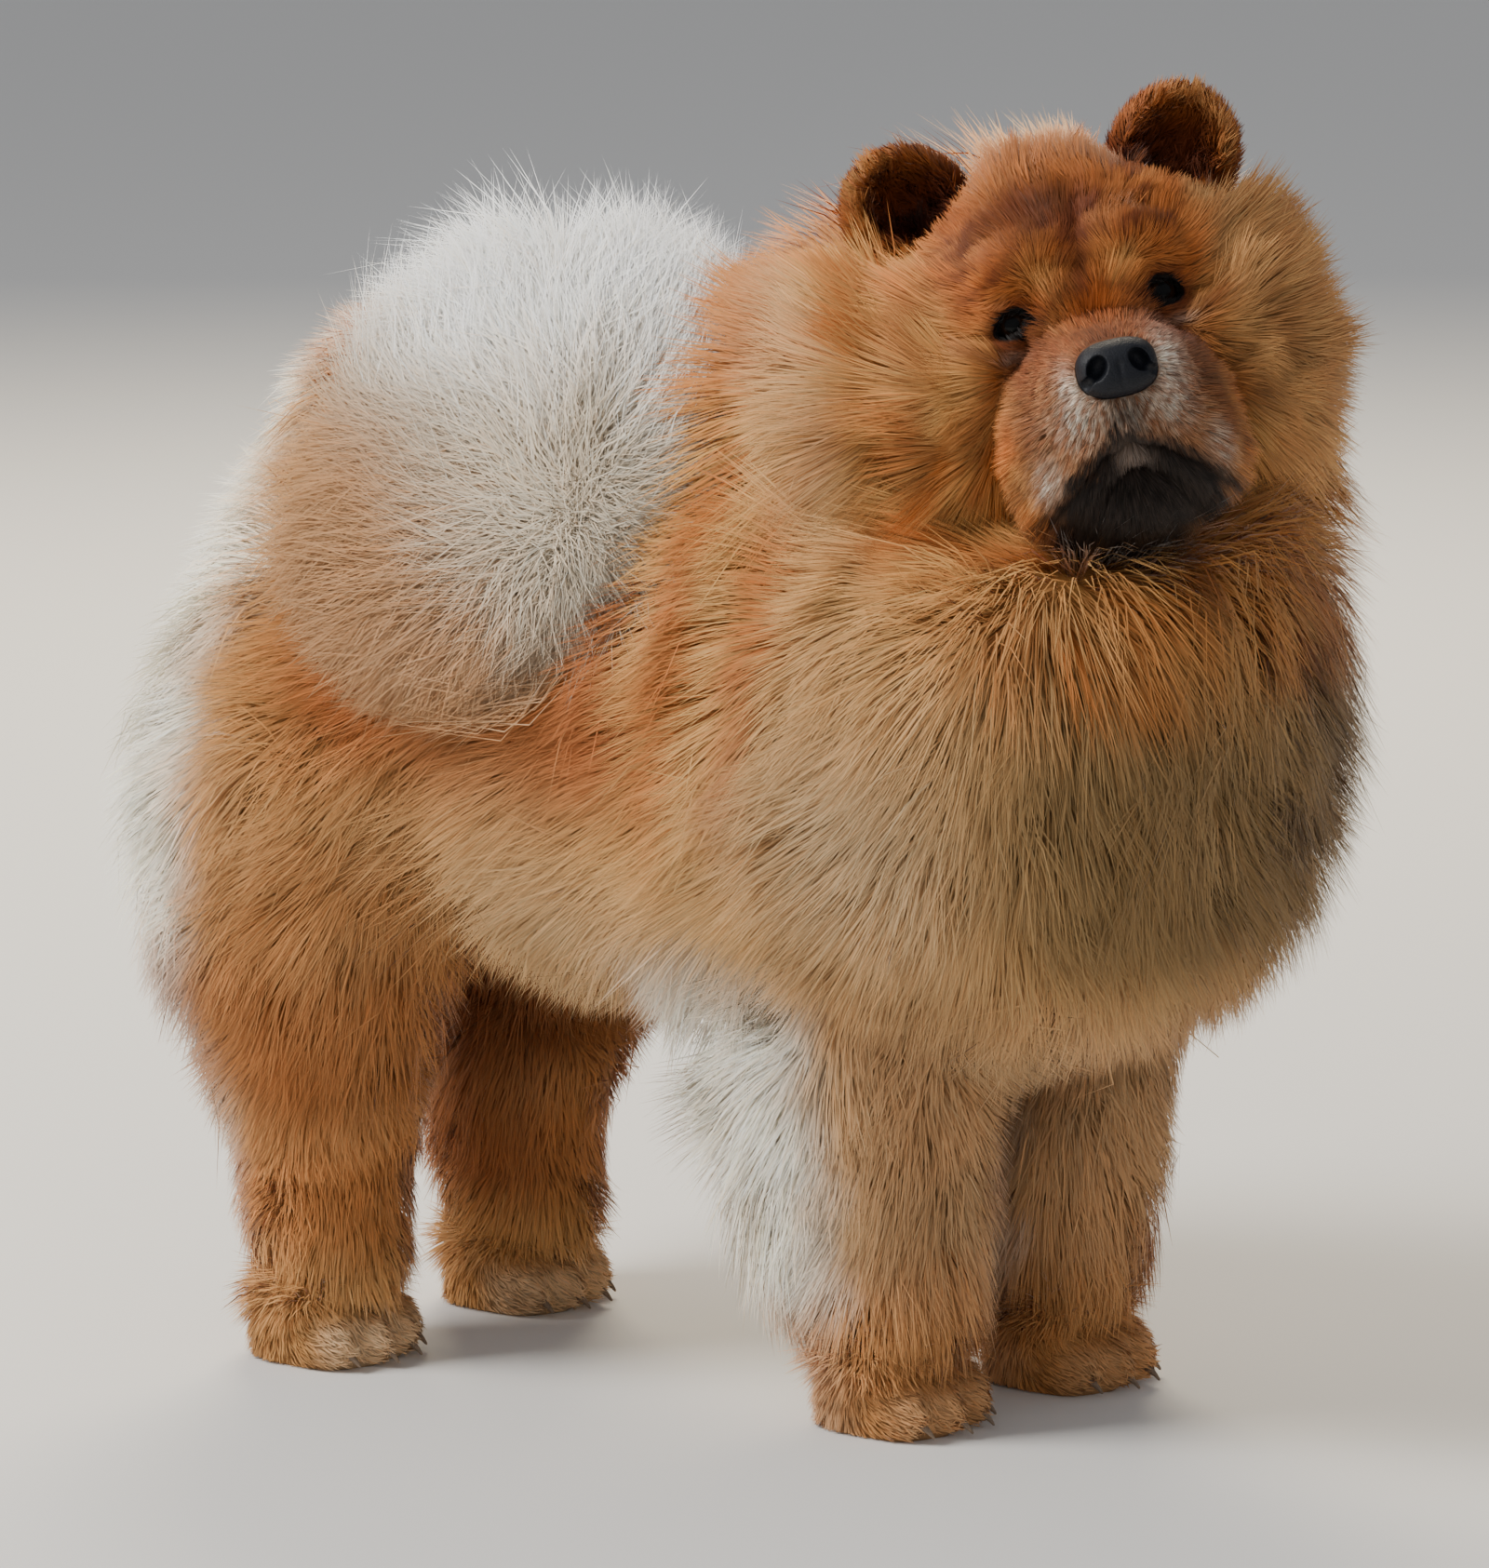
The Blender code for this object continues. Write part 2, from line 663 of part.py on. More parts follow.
# A ring of a lock is (share along it, share of its width, share of its thickness)
LONG_RINGS = ((0.0, 0.75, 0.8), (0.45, 1.0, 1.0), (0.78, 0.62, 0.7))
SHORT_RINGS = ((0.0, 0.8, 0.8), (0.58, 1.0, 1.0))
EMERGES = (0.3, 0.9, 0.95)
LONG = 0.068
SUNK = 0.35  # how far below the core's surface a root starts, as a share of the way out to the tips
LOWEST = 0.012  # no lock comes nearer the floor
LOCK_SOLVER = "MANIFOLD"


class Lock:
    """One flat tapered lock, from its root in the core to its tip at the coat's surface."""

    def __init__(self, path, width, thickness):
        self.path = path
        self.width = width
        self.thickness = thickness
        points = [path(i / 6)[0] for i in range(7)]
        self.length = sum((b - a).length for a, b in zip(points, points[1:]))
        self.rings = LONG_RINGS if self.length > LONG else SHORT_RINGS

    def ring(self, share, wide, thick, grow):
        """A three-cornered section: two thin edges and a ridge on the outer side."""
        point, out = self.path(share)
        ahead = self.path(min(share + 0.04, 1))[0] - self.path(share - 0.04)[0]
        side = out.cross(ahead).normalized()
        out = ahead.cross(side).normalized()
        half = side * (self.width * wide / 2 + grow)
        ridge = out * (self.thickness * thick + grow)
        foot = point - out * grow
        return [foot - half, foot + half, point + ridge]

    def loops(self, grow=0.0, emerged=False):
        """The sections and the tip: of the whole lock, or of the stretch outside the core."""
        rings = ((EMERGES,) if emerged else self.rings[:1]) + self.rings[1:]
        tip, _ = self.path(1)
        return [self.ring(*ring, grow) for ring in rings] + [[tip]]

    def mesh(self, name="lock"):
        return object_from(name, self.bmesh())

    def bmesh(self, grow=0.0, emerged=False):
        bm = bmesh.new()
        loops = [[bm.verts.new(p) for p in loop] for loop in self.loops(grow, emerged)]
        bm.faces.new(loops[0])
        skin_loops(bm, loops)
        return bm

    def tree(self, grow=0.0, emerged=False):
        bm = self.bmesh(grow, emerged)
        tree = BVHTree.FromBMesh(bm)
        bm.free()
        return tree


class Coat:
    """Every lock that is in place, and the solids that a new one has to clear."""

    def __init__(self, solids):
        self.trees = {name: tree_of(obj) for name, obj in solids.items()}
        self.locks = {name: [] for name in solids}
        self.placed = []

    def has_room(self, lock, node):
        """Whether the lock is rooted in its own part, clear of the others and of the other locks."""
        root, _ = lock.path(0.0)
        tip, _ = lock.path(1.0)
        if min(point.z for loop in lock.loops() for point in loop) < LOWEST:
            return False
        if not is_inside(self.trees[node], root):
            return False
        whole = lock.tree(CLEAR)
        for name, tree in self.trees.items():
            if name == node:
                continue
            if whole.overlap(tree) or is_inside(tree, root) or is_inside(tree, tip):
                return False
        outside = lock.tree(CLEAR, emerged=True)
        middle, _ = lock.path(0.6)
        for other, other_middle, owner, other_whole, other_outside in self.placed:
            if (middle - other_middle).length > 0.5 * (lock.length + other.length) + 0.05:
                continue
            if owner == node and outside.overlap(other_outside):
                return False
            if owner != node and whole.overlap(other_whole):
                return False
        return True

    def place(self, lock, node):
        middle, _ = lock.path(0.6)
        outside = lock.tree(emerged=True)
        self.placed.append((lock, middle, node, lock.tree(), outside))
        self.locks[node].append(lock)

    def grow(self, node, make_lock, tries=5):
        """Places the lock, narrower and shorter at each try until it has room."""
        for attempt in range(tries):
            lock = make_lock(1 - 0.13 * attempt)
            if self.has_room(lock, node):
                self.place(lock, node)
                return True
        return False


def between_forms(core, coat, u0, v0, du, dv):
    """A path from below the core's surface to the coat's surface, moving along and round it."""

    def path(share):
        u = min(max(u0 + du * share, 0.01), 0.99)
        v = v0 + dv * share
        out_share = -SUNK + (1 + SUNK) * share
        point = core.point(u, v).lerp(coat.point(u, v), out_share)
        return point, Vector(coat.matrix[:3, :3] @ coat.normal(u, v))

    return path


def rows_of_locks(fur, node, core, coat, rows, fall, rng, wanted=lambda u, v: True):
    """Rows of locks round the form.

    A row is (share along, count, width, thickness, share of the form that a lock runs along). The
    locks turn towards the form's lower side by the angle fall.
    """
    for index, (u, count, width, thickness, du) in enumerate(rows):
        for k in range(count):
            v = math.tau * (k + 0.5 * (index % 2) + rng.uniform(-0.12, 0.12)) / count
            start = u + rng.uniform(-0.012, 0.012)
            size = rng.uniform(0.88, 1.08)
            if not wanted(u, v % math.tau):
                continue
            dv = -fall * math.cos(v) + rng.uniform(-0.06, 0.06)

            def make(scale, v=v, start=start, size=size, dv=dv):
                path = between_forms(core, coat, start, v, du * (0.5 + 0.5 * scale) * size, dv * scale)
                return Lock(path, width * scale * size, thickness * (0.6 + 0.4 * scale))

            fur.grow(node, make)


TORSO_ROWS = [
    (0.08, 9, 0.050, 0.011, 0.15),
    (0.16, 13, 0.056, 0.012, 0.15),
    (0.25, 15, 0.058, 0.012, 0.15),
    (0.34, 16, 0.058, 0.012, 0.15),
    (0.43, 16, 0.058, 0.012, 0.15),
    (0.52, 16, 0.056, 0.012, 0.15),
    (0.61, 15, 0.055, 0.012, 0.15),
    (0.70, 14, 0.052, 0.011, 0.14),
    (0.79, 12, 0.046, 0.010, 0.13),
]
NECK_ROWS = [
    (0.17, 15, 0.046, 0.010, 0.20),
    (0.27, 17, 0.052, 0.011, 0.20),
    (0.38, 17, 0.056, 0.012, 0.20),
    (0.50, 17, 0.056, 0.012, 0.20),
    (0.62, 15, 0.054, 0.012, 0.18),
]
THIGH_ROWS = [
    (0.15, 9, 0.038, 0.009, 0.18),
    (0.27, 10, 0.042, 0.010, 0.19),
    (0.40, 10, 0.044, 0.010, 0.19),
    (0.53, 10, 0.042, 0.010, 0.19),
    (0.67, 9, 0.036, 0.008, 0.19),
]
FORELEG_ROWS = [
    (0.13, 8, 0.044, 0.009, 0.18),
    (0.25, 8, 0.042, 0.009, 0.18),
    (0.37, 8, 0.036, 0.008, 0.18),
    (0.50, 8, 0.032, 0.007, 0.17),
    (0.62, 7, 0.028, 0.006, 0.16),
]
HINDLEG_ROWS = [
    (0.40, 7, 0.024, 0.005, 0.20),
    (0.58, 7, 0.022, 0.005, 0.20),
]
TAIL_ROOT_ROWS = [
    (0.28, 7, 0.034, 0.008, 0.26),
    (0.46, 7, 0.036, 0.008, 0.26),
]
CHEEK_ROWS = [
    (0.37, 14, 0.038, 0.009, 0.20),
    (0.50, 15, 0.042, 0.009, 0.20),
    (0.62, 14, 0.042, 0.009, 0.18),
]
# A row of the plume is (distance of the roots from its tip, count, width, thickness, distance of the
# lock's tip, 1 on its outer face or -1 on the inner)
PLUME_ROWS = [
    (0.022, 9, 0.020, 0.006, 0.090, 1),
    (0.052, 12, 0.028, 0.008, 0.128, 1),
    (0.088, 13, 0.036, 0.009, 1.000, 1),
    (0.080, 9, 0.040, 0.008, 0.180, -1),
]


def plume_reach(angle):
    """How far the plume's outline is from its tip at an angle round it, up from straight away."""
    low, high = 0.0, 0.30
    for _ in range(24):
        middle = (low + high) / 2
        if plume_height(math.cos(angle) * middle, math.sin(angle) * middle) is None:
            high = middle
        else:
            low = middle
    return low


def plume_height(away, across, face=1):
    """How far the plume stands out of its plane at a place in it. None is past its outline."""
    stations = np.array(PLUME)
    if away < stations[0, 0] or away > stations[-1, 0]:
        return None
    width = np.interp(away, stations[:, 0], stations[:, 1])
    if width <= abs(across):
        return None
    height = np.interp(away, stations[:, 0], stations[:, 2 if face > 0 else 3])
    return height * math.sqrt(1 - (across / width) ** 2)


def plume_path(angle, start, end, bend, face):
    """A path that runs outward over the dome of the plume, from its core to its coat."""

    def path(share):
        far = start + (end - start) * share
        turned = angle + bend * share * share
        away, across = math.cos(turned) * far, math.sin(turned) * far
        height = plume_height(away, across, face) or 0.0
        out_share = -SUNK + (1 + SUNK) * share
        rise = height - PLUME_CORE_ABOVE * (1 - out_share)
        point = PLUME_TIP + PLUME_AWAY * away + PLUME_ACROSS * across + PLUME_OUT * rise * face
        return point, PLUME_OUT * face

    return path


def plume_locks(fur, rng):
    for index, (start, count, width, thickness, end, face) in enumerate(PLUME_ROWS):
        for k in range(count):
            angle = math.radians(-100 + 200 * (k + 0.5 * (index % 2) + 0.25) / count)
            reach = plume_reach(angle)
            size = rng.uniform(0.92, 1.0)
            bend = rng.uniform(-0.12, 0.12)

            def make(scale, angle=angle, reach=reach, size=size, bend=bend):
                tip = min(end, reach * 0.985) * size
                root = min(start, reach - 0.06)
                path = plume_path(angle, root, tip, bend * scale, face)
                return Lock(path, width * scale, thickness * (0.6 + 0.4 * scale))

            fur.grow("tail", make)


# The parts


def material(name, colour, roughness):
    made = bpy.data.materials.new(name)
    made.use_nodes = True
    shader = made.node_tree.nodes["Principled BSDF"]
    shader.inputs["Base Color"].default_value = (*colour, 1)
    shader.inputs["Roughness"].default_value = roughness
    return made


LOOKS = {
    "torso": (GOLD, 0.85),
    "neck": (GOLD, 0.85),
    "head": (RED, 0.8),
    "nose": (SLATE, 0.35),
    "eye": (EYE_BROWN, 0.08),
    "ear": (BROWN, 0.85),
    "tail": (CREAM, 0.9),
    "thigh": (GOLD, 0.85),
    "hindleg": (RED, 0.8),
    "hindpaw": (CREAM, 0.8),
    "foreleg": (RED, 0.8),
    "forepaw": (CREAM, 0.8),
}


def cores():
    """Each long-coated part's coat and core."""
    made = {
        "torso": (torso_coat(), (0.034, 0.030, 0.030, 0.030)),
        "neck": (neck_coat(), (0.036, 0.050, 0.036, 0.008)),
        "plume": (plume_coat(), (PLUME_CORE_SIDE, PLUME_CORE_ABOVE, PLUME_CORE_ABOVE, 0.016)),
        "tail_root": (tail_root_coat(), (0.022, 0.020, 0.014, 0.006)),
    }
    for side, word in ((RIGHT, "right"), (LEFT, "left")):
        made["thigh_" + word] = (thigh_coat(side), (0.026, 0.026, 0.036, 0.010))
        made["hindleg_" + word] = (hindleg_coat(side), (0.009, 0.007, 0.015, 0.004))
        made["foreleg_" + word] = (foreleg_coat(side), (0.014, 0.012, 0.044, 0.006))
    return {name: (coat, coat.inner(*depths)) for name, (coat, depths) in made.items()}


RINGS = {
    "torso": (11, 18),
    "neck": (9, 16),
    "plume": (7, 12),
    "tail_root": (6, 10),
    "thigh": (8, 12),
    "hindleg": (6, 10),
    "foreleg": (8, 11),
}


def core_mesh(forms, name, grow=0.0):
    return forms[name][1].mesh(name, *RINGS[name.replace("_right", "").replace("_left", "")], grow)


def tail_core(forms, grow=0.0):
    return boolean(core_mesh(forms, "plume", grow), [core_mesh(forms, "tail_root", grow)], "UNION")


def make_solids(forms):
    """Every part with its neighbours cut away, and no locks yet."""
    solids = {"torso": core_mesh(forms, "torso")}

    def torso():
        return core_mesh(forms, "torso", GAP)

    ears = [ear_shell(side, GAP) for side in (RIGHT, LEFT)]
    solids["neck"] = boolean(core_mesh(forms, "neck"), [torso(), whole_head(GAP), *ears], "DIFFERENCE")
    solids["head"] = boolean(make_head(), [torso()], "DIFFERENCE")
    solids["nose"] = make_nose()
    tail_cuts = [torso(), core_mesh(forms, "neck", GAP), whole_head(GAP)]
    solids["tail"] = boolean(tail_core(forms), tail_cuts, "DIFFERENCE")
    for side, word in ((RIGHT, "right"), (LEFT, "left")):
        solids["eye_" + word] = eyeball(side)
        solids["ear_" + word] = boolean(ear_shell(side), [ear_cup(side), whole_head(GAP)], "DIFFERENCE")
        fore, hind = FORE_FEET[side], HIND_FEET[side]
        foreleg = core_mesh(forms, "foreleg_" + word)
        leg_cuts = [torso(), core_mesh(forms, "neck", GAP), make_paw(fore, GAP)]
        solids["foreleg_" + word] = boolean(foreleg, leg_cuts, "DIFFERENCE")
        solids["forepaw_" + word] = make_paw(fore)
        thigh = core_mesh(forms, "thigh_" + word)
        solids["thigh_" + word] = boolean(thigh, [torso(), tail_core(forms, GAP)], "DIFFERENCE")
        shank_cuts = [core_mesh(forms, "thigh_" + word, GAP), torso(), make_paw(hind, GAP)]
        solids["hindleg_" + word] = boolean(core_mesh(forms, "hindleg_" + word), shank_cuts, "DIFFERENCE")
        solids["hindpaw_" + word] = make_paw(hind)
    return {name: keep_largest(obj) for name, obj in solids.items()}


def grow_coat(solids, forms):
    """Locks on every long-coated part, each clear of all the others."""
    fur = Coat(solids)
    rng = random.Random(7)
    hidden = {name: tree_of(pair[0].mesh("coat", 16, 24)) for name, pair in forms.items()}
    for obj in [o for o in bpy.data.objects if o.name.startswith("coat")]:
        bpy.data.objects.remove(obj)

    def outside(coat, names, depth):
        def wanted(u, v):
            point = coat.point(u, v)
            for name in names:
                place, normal, _, _ = hidden[name].find_nearest(point)
                if (point - place).dot(normal) < -depth:
                    return False
            return True

        return wanted

    wanted = outside(cheek_coat(), ["plume"], 0.005)
    rows_of_locks(fur, "head", cranium_form(), cheek_coat(), CHEEK_ROWS, 0.05, rng, wanted)
    coat, core = forms["neck"]
    rows_of_locks(fur, "neck", core, coat, NECK_ROWS, 0.10, rng, outside(coat, ["plume"], 0.005))
    plume_locks(fur, rng)
    coat, core = forms["tail_root"]
    rows_of_locks(fur, "tail", core, coat, TAIL_ROOT_ROWS, 0.0, rng, outside(coat, ["plume"], 0.004))
    coat, core = forms["torso"]
    others = ["neck", "plume", "tail_root", "thigh_right", "thigh_left", "foreleg_right", "foreleg_left"]
    rows_of_locks(fur, "torso", core, coat, TORSO_ROWS, 0.16, rng, outside(coat, others, 0.010))
    for word in ("right", "left"):
        coat, core = forms["thigh_" + word]
        wanted = outside(coat, ["torso", "plume", "tail_root"], 0.035)
        rows_of_locks(fur, "thigh_" + word, core, coat, THIGH_ROWS, 0.20, rng, wanted)
        coat, core = forms["foreleg_" + word]
        wanted = outside(coat, ["torso", "neck"], 0.032)
        rows_of_locks(fur, "foreleg_" + word, core, coat, FORELEG_ROWS, 0.22, rng, wanted)
        coat, core = forms["hindleg_" + word]
        wanted = outside(coat, ["thigh_" + word], 0.006)
        rows_of_locks(fur, "hindleg_" + word, core, coat, HINDLEG_ROWS, 0.2, rng, wanted)
    for name, locks in fur.locks.items():
        if locks:
            keep_largest(boolean(solids[name], [lock.mesh() for lock in locks], "UNION", LOCK_SOLVER))
    return fur


def place_parts(solids):
    """Moves the model so that the middle of its box, at the floor, is the origin, and names each part."""
    corners = np.array([vertex.co for obj in solids.values() for vertex in obj.data.vertices])
    middle = (corners.min(axis=0) + corners.max(axis=0)) / 2
    shift = Matrix.Translation((-middle[0], -middle[1], 0))
    head_place = bpy.data.objects.new("head_place", None)
    bpy.context.scene.collection.objects.link(head_place)
    head_place.matrix_world = shift @ head_matrix()
    bpy.context.view_layer.update()
    for name, obj in solids.items():
        obj.name = name
        obj.data.name = name
        kind = name.replace("_right", "").replace("_left", "")
        colour, roughness = LOOKS[kind]
        obj.data.materials.clear()
        obj.data.materials.append(material(name, colour, roughness))
        if kind in ("head", "nose", "eye", "ear"):
            obj.data.transform(head_matrix().inverted())
            obj.parent = head_place
        else:
            obj.data.transform(shift)


def build():
    for obj in list(bpy.data.objects):
        bpy.data.objects.remove(obj)
    forms = cores()
    solids = make_solids(forms)
    grow_coat(solids, forms)
    place_parts(solids)


build()
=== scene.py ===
"""The looks of a life-size chow chow: skin, eyes, nose, claws and a plush coat of fine tufts.

The forms of the body are the same as in the solids: a coat's surface out to the tips, and the skin
that lies under it. A tuft runs from the skin to the coat, along the lie of the fur. Places are in
metres, +X the way the body faces, +Y its left, +Z up, before SHIFT moves them onto the frame.
"""

import math

import bmesh
import bpy
import numpy as np
from mathutils import Matrix, Vector
from mathutils.bvhtree import BVHTree
from mathutils.kdtree import KDTree


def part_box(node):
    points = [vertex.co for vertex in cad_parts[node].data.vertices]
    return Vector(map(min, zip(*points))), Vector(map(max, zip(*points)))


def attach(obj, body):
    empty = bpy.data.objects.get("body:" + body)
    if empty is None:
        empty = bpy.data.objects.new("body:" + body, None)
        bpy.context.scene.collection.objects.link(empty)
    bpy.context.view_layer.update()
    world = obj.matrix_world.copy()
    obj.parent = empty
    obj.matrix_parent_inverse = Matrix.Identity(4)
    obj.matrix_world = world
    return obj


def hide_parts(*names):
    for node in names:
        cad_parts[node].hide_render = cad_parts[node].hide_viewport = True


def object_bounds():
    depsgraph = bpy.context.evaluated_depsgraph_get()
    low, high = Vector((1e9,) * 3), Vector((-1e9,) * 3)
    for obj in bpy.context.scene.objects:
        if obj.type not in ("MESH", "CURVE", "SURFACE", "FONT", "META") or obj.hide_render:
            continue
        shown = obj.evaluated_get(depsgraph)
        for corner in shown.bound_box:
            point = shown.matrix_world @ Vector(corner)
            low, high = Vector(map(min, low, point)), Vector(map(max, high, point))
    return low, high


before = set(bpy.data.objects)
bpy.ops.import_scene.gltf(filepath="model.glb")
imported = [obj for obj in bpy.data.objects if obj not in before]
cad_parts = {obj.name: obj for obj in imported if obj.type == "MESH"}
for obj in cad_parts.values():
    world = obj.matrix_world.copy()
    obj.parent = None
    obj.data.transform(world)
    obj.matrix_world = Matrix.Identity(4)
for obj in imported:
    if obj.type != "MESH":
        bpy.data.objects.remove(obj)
CAD_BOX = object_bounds()

RIGHT, LEFT = -1, 1
SIDES = ((RIGHT, "right"), (LEFT, "left"))

# The photograph's camera
IMAGE = (1600, 1685)
CAMERA_TURN = math.radians(33)
CAMERA_RAISE = math.radians(10)
CAMERA_FAR = 4.2
FOCAL_PIXELS = 8400
ORIGIN_PIXEL = (782, 1463)
SENSOR = 36.0

# The head's own frame: origin midway between the eyes, +X to the nose, +Y to its left ear
HEAD_AT = Vector((0.250, -0.055, 0.589))
HEAD_TURN = math.radians(-53.5)
HEAD_RAISE = math.radians(9)
HEAD_TILT = math.radians(12.5)
EYE_APART = 0.073
EYE_RADIUS = 0.0108
EYE_IN = 0.0035
EYE_OUTWARD = math.radians(14)
EYE_DROOP = math.radians(24)
EYE_LONG = 0.0105
EYE_TALL = 0.0066
LID = 0.0028
SOCKET_GAP = 0.0004
NOSE_AT = Vector((0.0745, 0, -0.0330))
MOUTH = [(-0.0500, -0.100), (-0.0420, -0.096), (-0.0300, -0.085), (-0.0160, -0.0735), (0.0, -0.0675)]
EAR_AT = Vector((-0.070, 0.069, 0.067))
EAR_RADII = (0.0185, 0.0345, 0.0375)
EAR_REACH = (0.026, 0.037, 0.040)
EAR_SPREAD = math.radians(-32)
EAR_LEAN = math.radians(12)
CUP_AHEAD = Vector((0.021, -0.001, 0.002))
CUP_RADII = (0.024, 0.0245, 0.0275)

# Where each foot stands: (forward, left)
FORE_FEET = {RIGHT: (0.145, -0.060), LEFT: (0.170, 0.068)}
HIND_FEET = {RIGHT: (-0.190, -0.100), LEFT: (-0.172, 0.056)}
TOE = (0.0240, 0.0120, 0.0190)
TOE_PLACES = ((-0.0305, 0.014), (-0.0105, 0.025), (0.0105, 0.025), (0.0305, 0.014))
TOE_HEIGHT = 0.014
CLAW_HEIGHT = 0.0085

# The plume lies in a plane that leans on the right flank
PLUME_TIP = Vector((0.010, -0.135, 0.468))
PLUME_AWAY = Vector((-0.888, 0.207, 0.414)).normalized()
PLUME_ACROSS = Vector((0.463, 0.397, 0.794)).normalized()
PLUME_OUT = Vector((0, -0.894, 0.447)).normalized()

# The grids on which overlapping forms are melted into one
BODY_VOXEL = 0.006
HEAD_VOXEL = 0.00165
PAW_VOXEL = 0.0028
NOSE_VOXEL = 0.0007
HULL_VOXEL = 0.009
FACE_HULL_VOXEL = 0.0035


def head_matrix():
    """From the head's own frame to the model's."""
    turn = Matrix.Rotation(HEAD_TURN, 4, "Z")
    lift = Matrix.Rotation(-HEAD_RAISE, 4, "Y")
    tilt = Matrix.Rotation(HEAD_TILT, 4, "X")
    return Matrix.Translation(HEAD_AT) @ turn @ lift @ tilt


HEAD = head_matrix()
HEAD_TURNED = np.array(HEAD)[:3, :3]
HEAD_PLACE = np.array(HEAD)[:3, 3]


def eye_centre(side):
    return Vector((EYE_IN, side * EYE_APART / 2, 0))


def shift_to_frame():
    """From the places used here to the frame, by the middle of the right eye."""
    low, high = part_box("eye_right")
    return (Vector(low) + Vector(high)) / 2 - HEAD @ eye_centre(RIGHT)


SHIFT = shift_to_frame()


# Colours


def srgb(red, green, blue):
    """A colour seen as these 0 to 255 values, as linear light."""
    seen = np.array([red, green, blue]) / 255
    return np.where(seen <= 0.04045, seen / 12.92, ((seen + 0.055) / 1.055) ** 2.4)


RED = srgb(168, 84, 34)
DEEP = srgb(112, 52, 20)
ORANGE = srgb(188, 112, 50)
GOLD = srgb(214, 164, 98)
TAN = srgb(198, 154, 102)
BEIGE = srgb(200, 172, 134)
# DULL serves as painted shade on the ruff's left side and, in part, on the chest
DULL = srgb(150, 122, 82)
CREAM = srgb(232, 212, 180)
# HALO is partly paler hair and partly painted rim light
HALO = srgb(226, 204, 164)
WHITE = srgb(252, 252, 250)
FEATHER = srgb(247, 240, 226)
ASH = srgb(196, 184, 164)
BROWN = srgb(84, 42, 20)
DARK = srgb(28, 22, 19)
GREY = srgb(196, 188, 176)
MUZZLE = srgb(138, 82, 50)
SLATE = srgb(22, 26, 36)


def mix(a, b, share):
    """From a to b: colours of one row or many, by a share of one number or many."""
    share = np.clip(np.asarray(share, float), 0, 1)[..., None]
    return a * (1 - share) + b * share


def rise(low, high, x):
    """0 below low, 1 above high (or the other way round), smooth between."""
    t = np.clip((x - low) / (high - low), 0, 1)
    return t * t * (3 - 2 * t)


def spot(points, centre, size):
    """1 at the centre, fading out over the size: one number, or one for each axis."""
    away = (points - np.array(centre)) / np.array(size)
    return np.exp(-(away**2).sum(axis=-1))


def wander(points, size, seed):
    """A smooth value between about -1 and 1 that changes over the size."""
    rng = np.random.default_rng(seed)
    total = 0
    for _ in range(5):
        way = rng.normal(size=3)
        way *= 2 * math.pi / size / np.linalg.norm(way) * rng.uniform(0.7, 1.4)
        total = total + np.sin(points @ way + rng.uniform(0, 6.28))
    return total / 3


# Forms


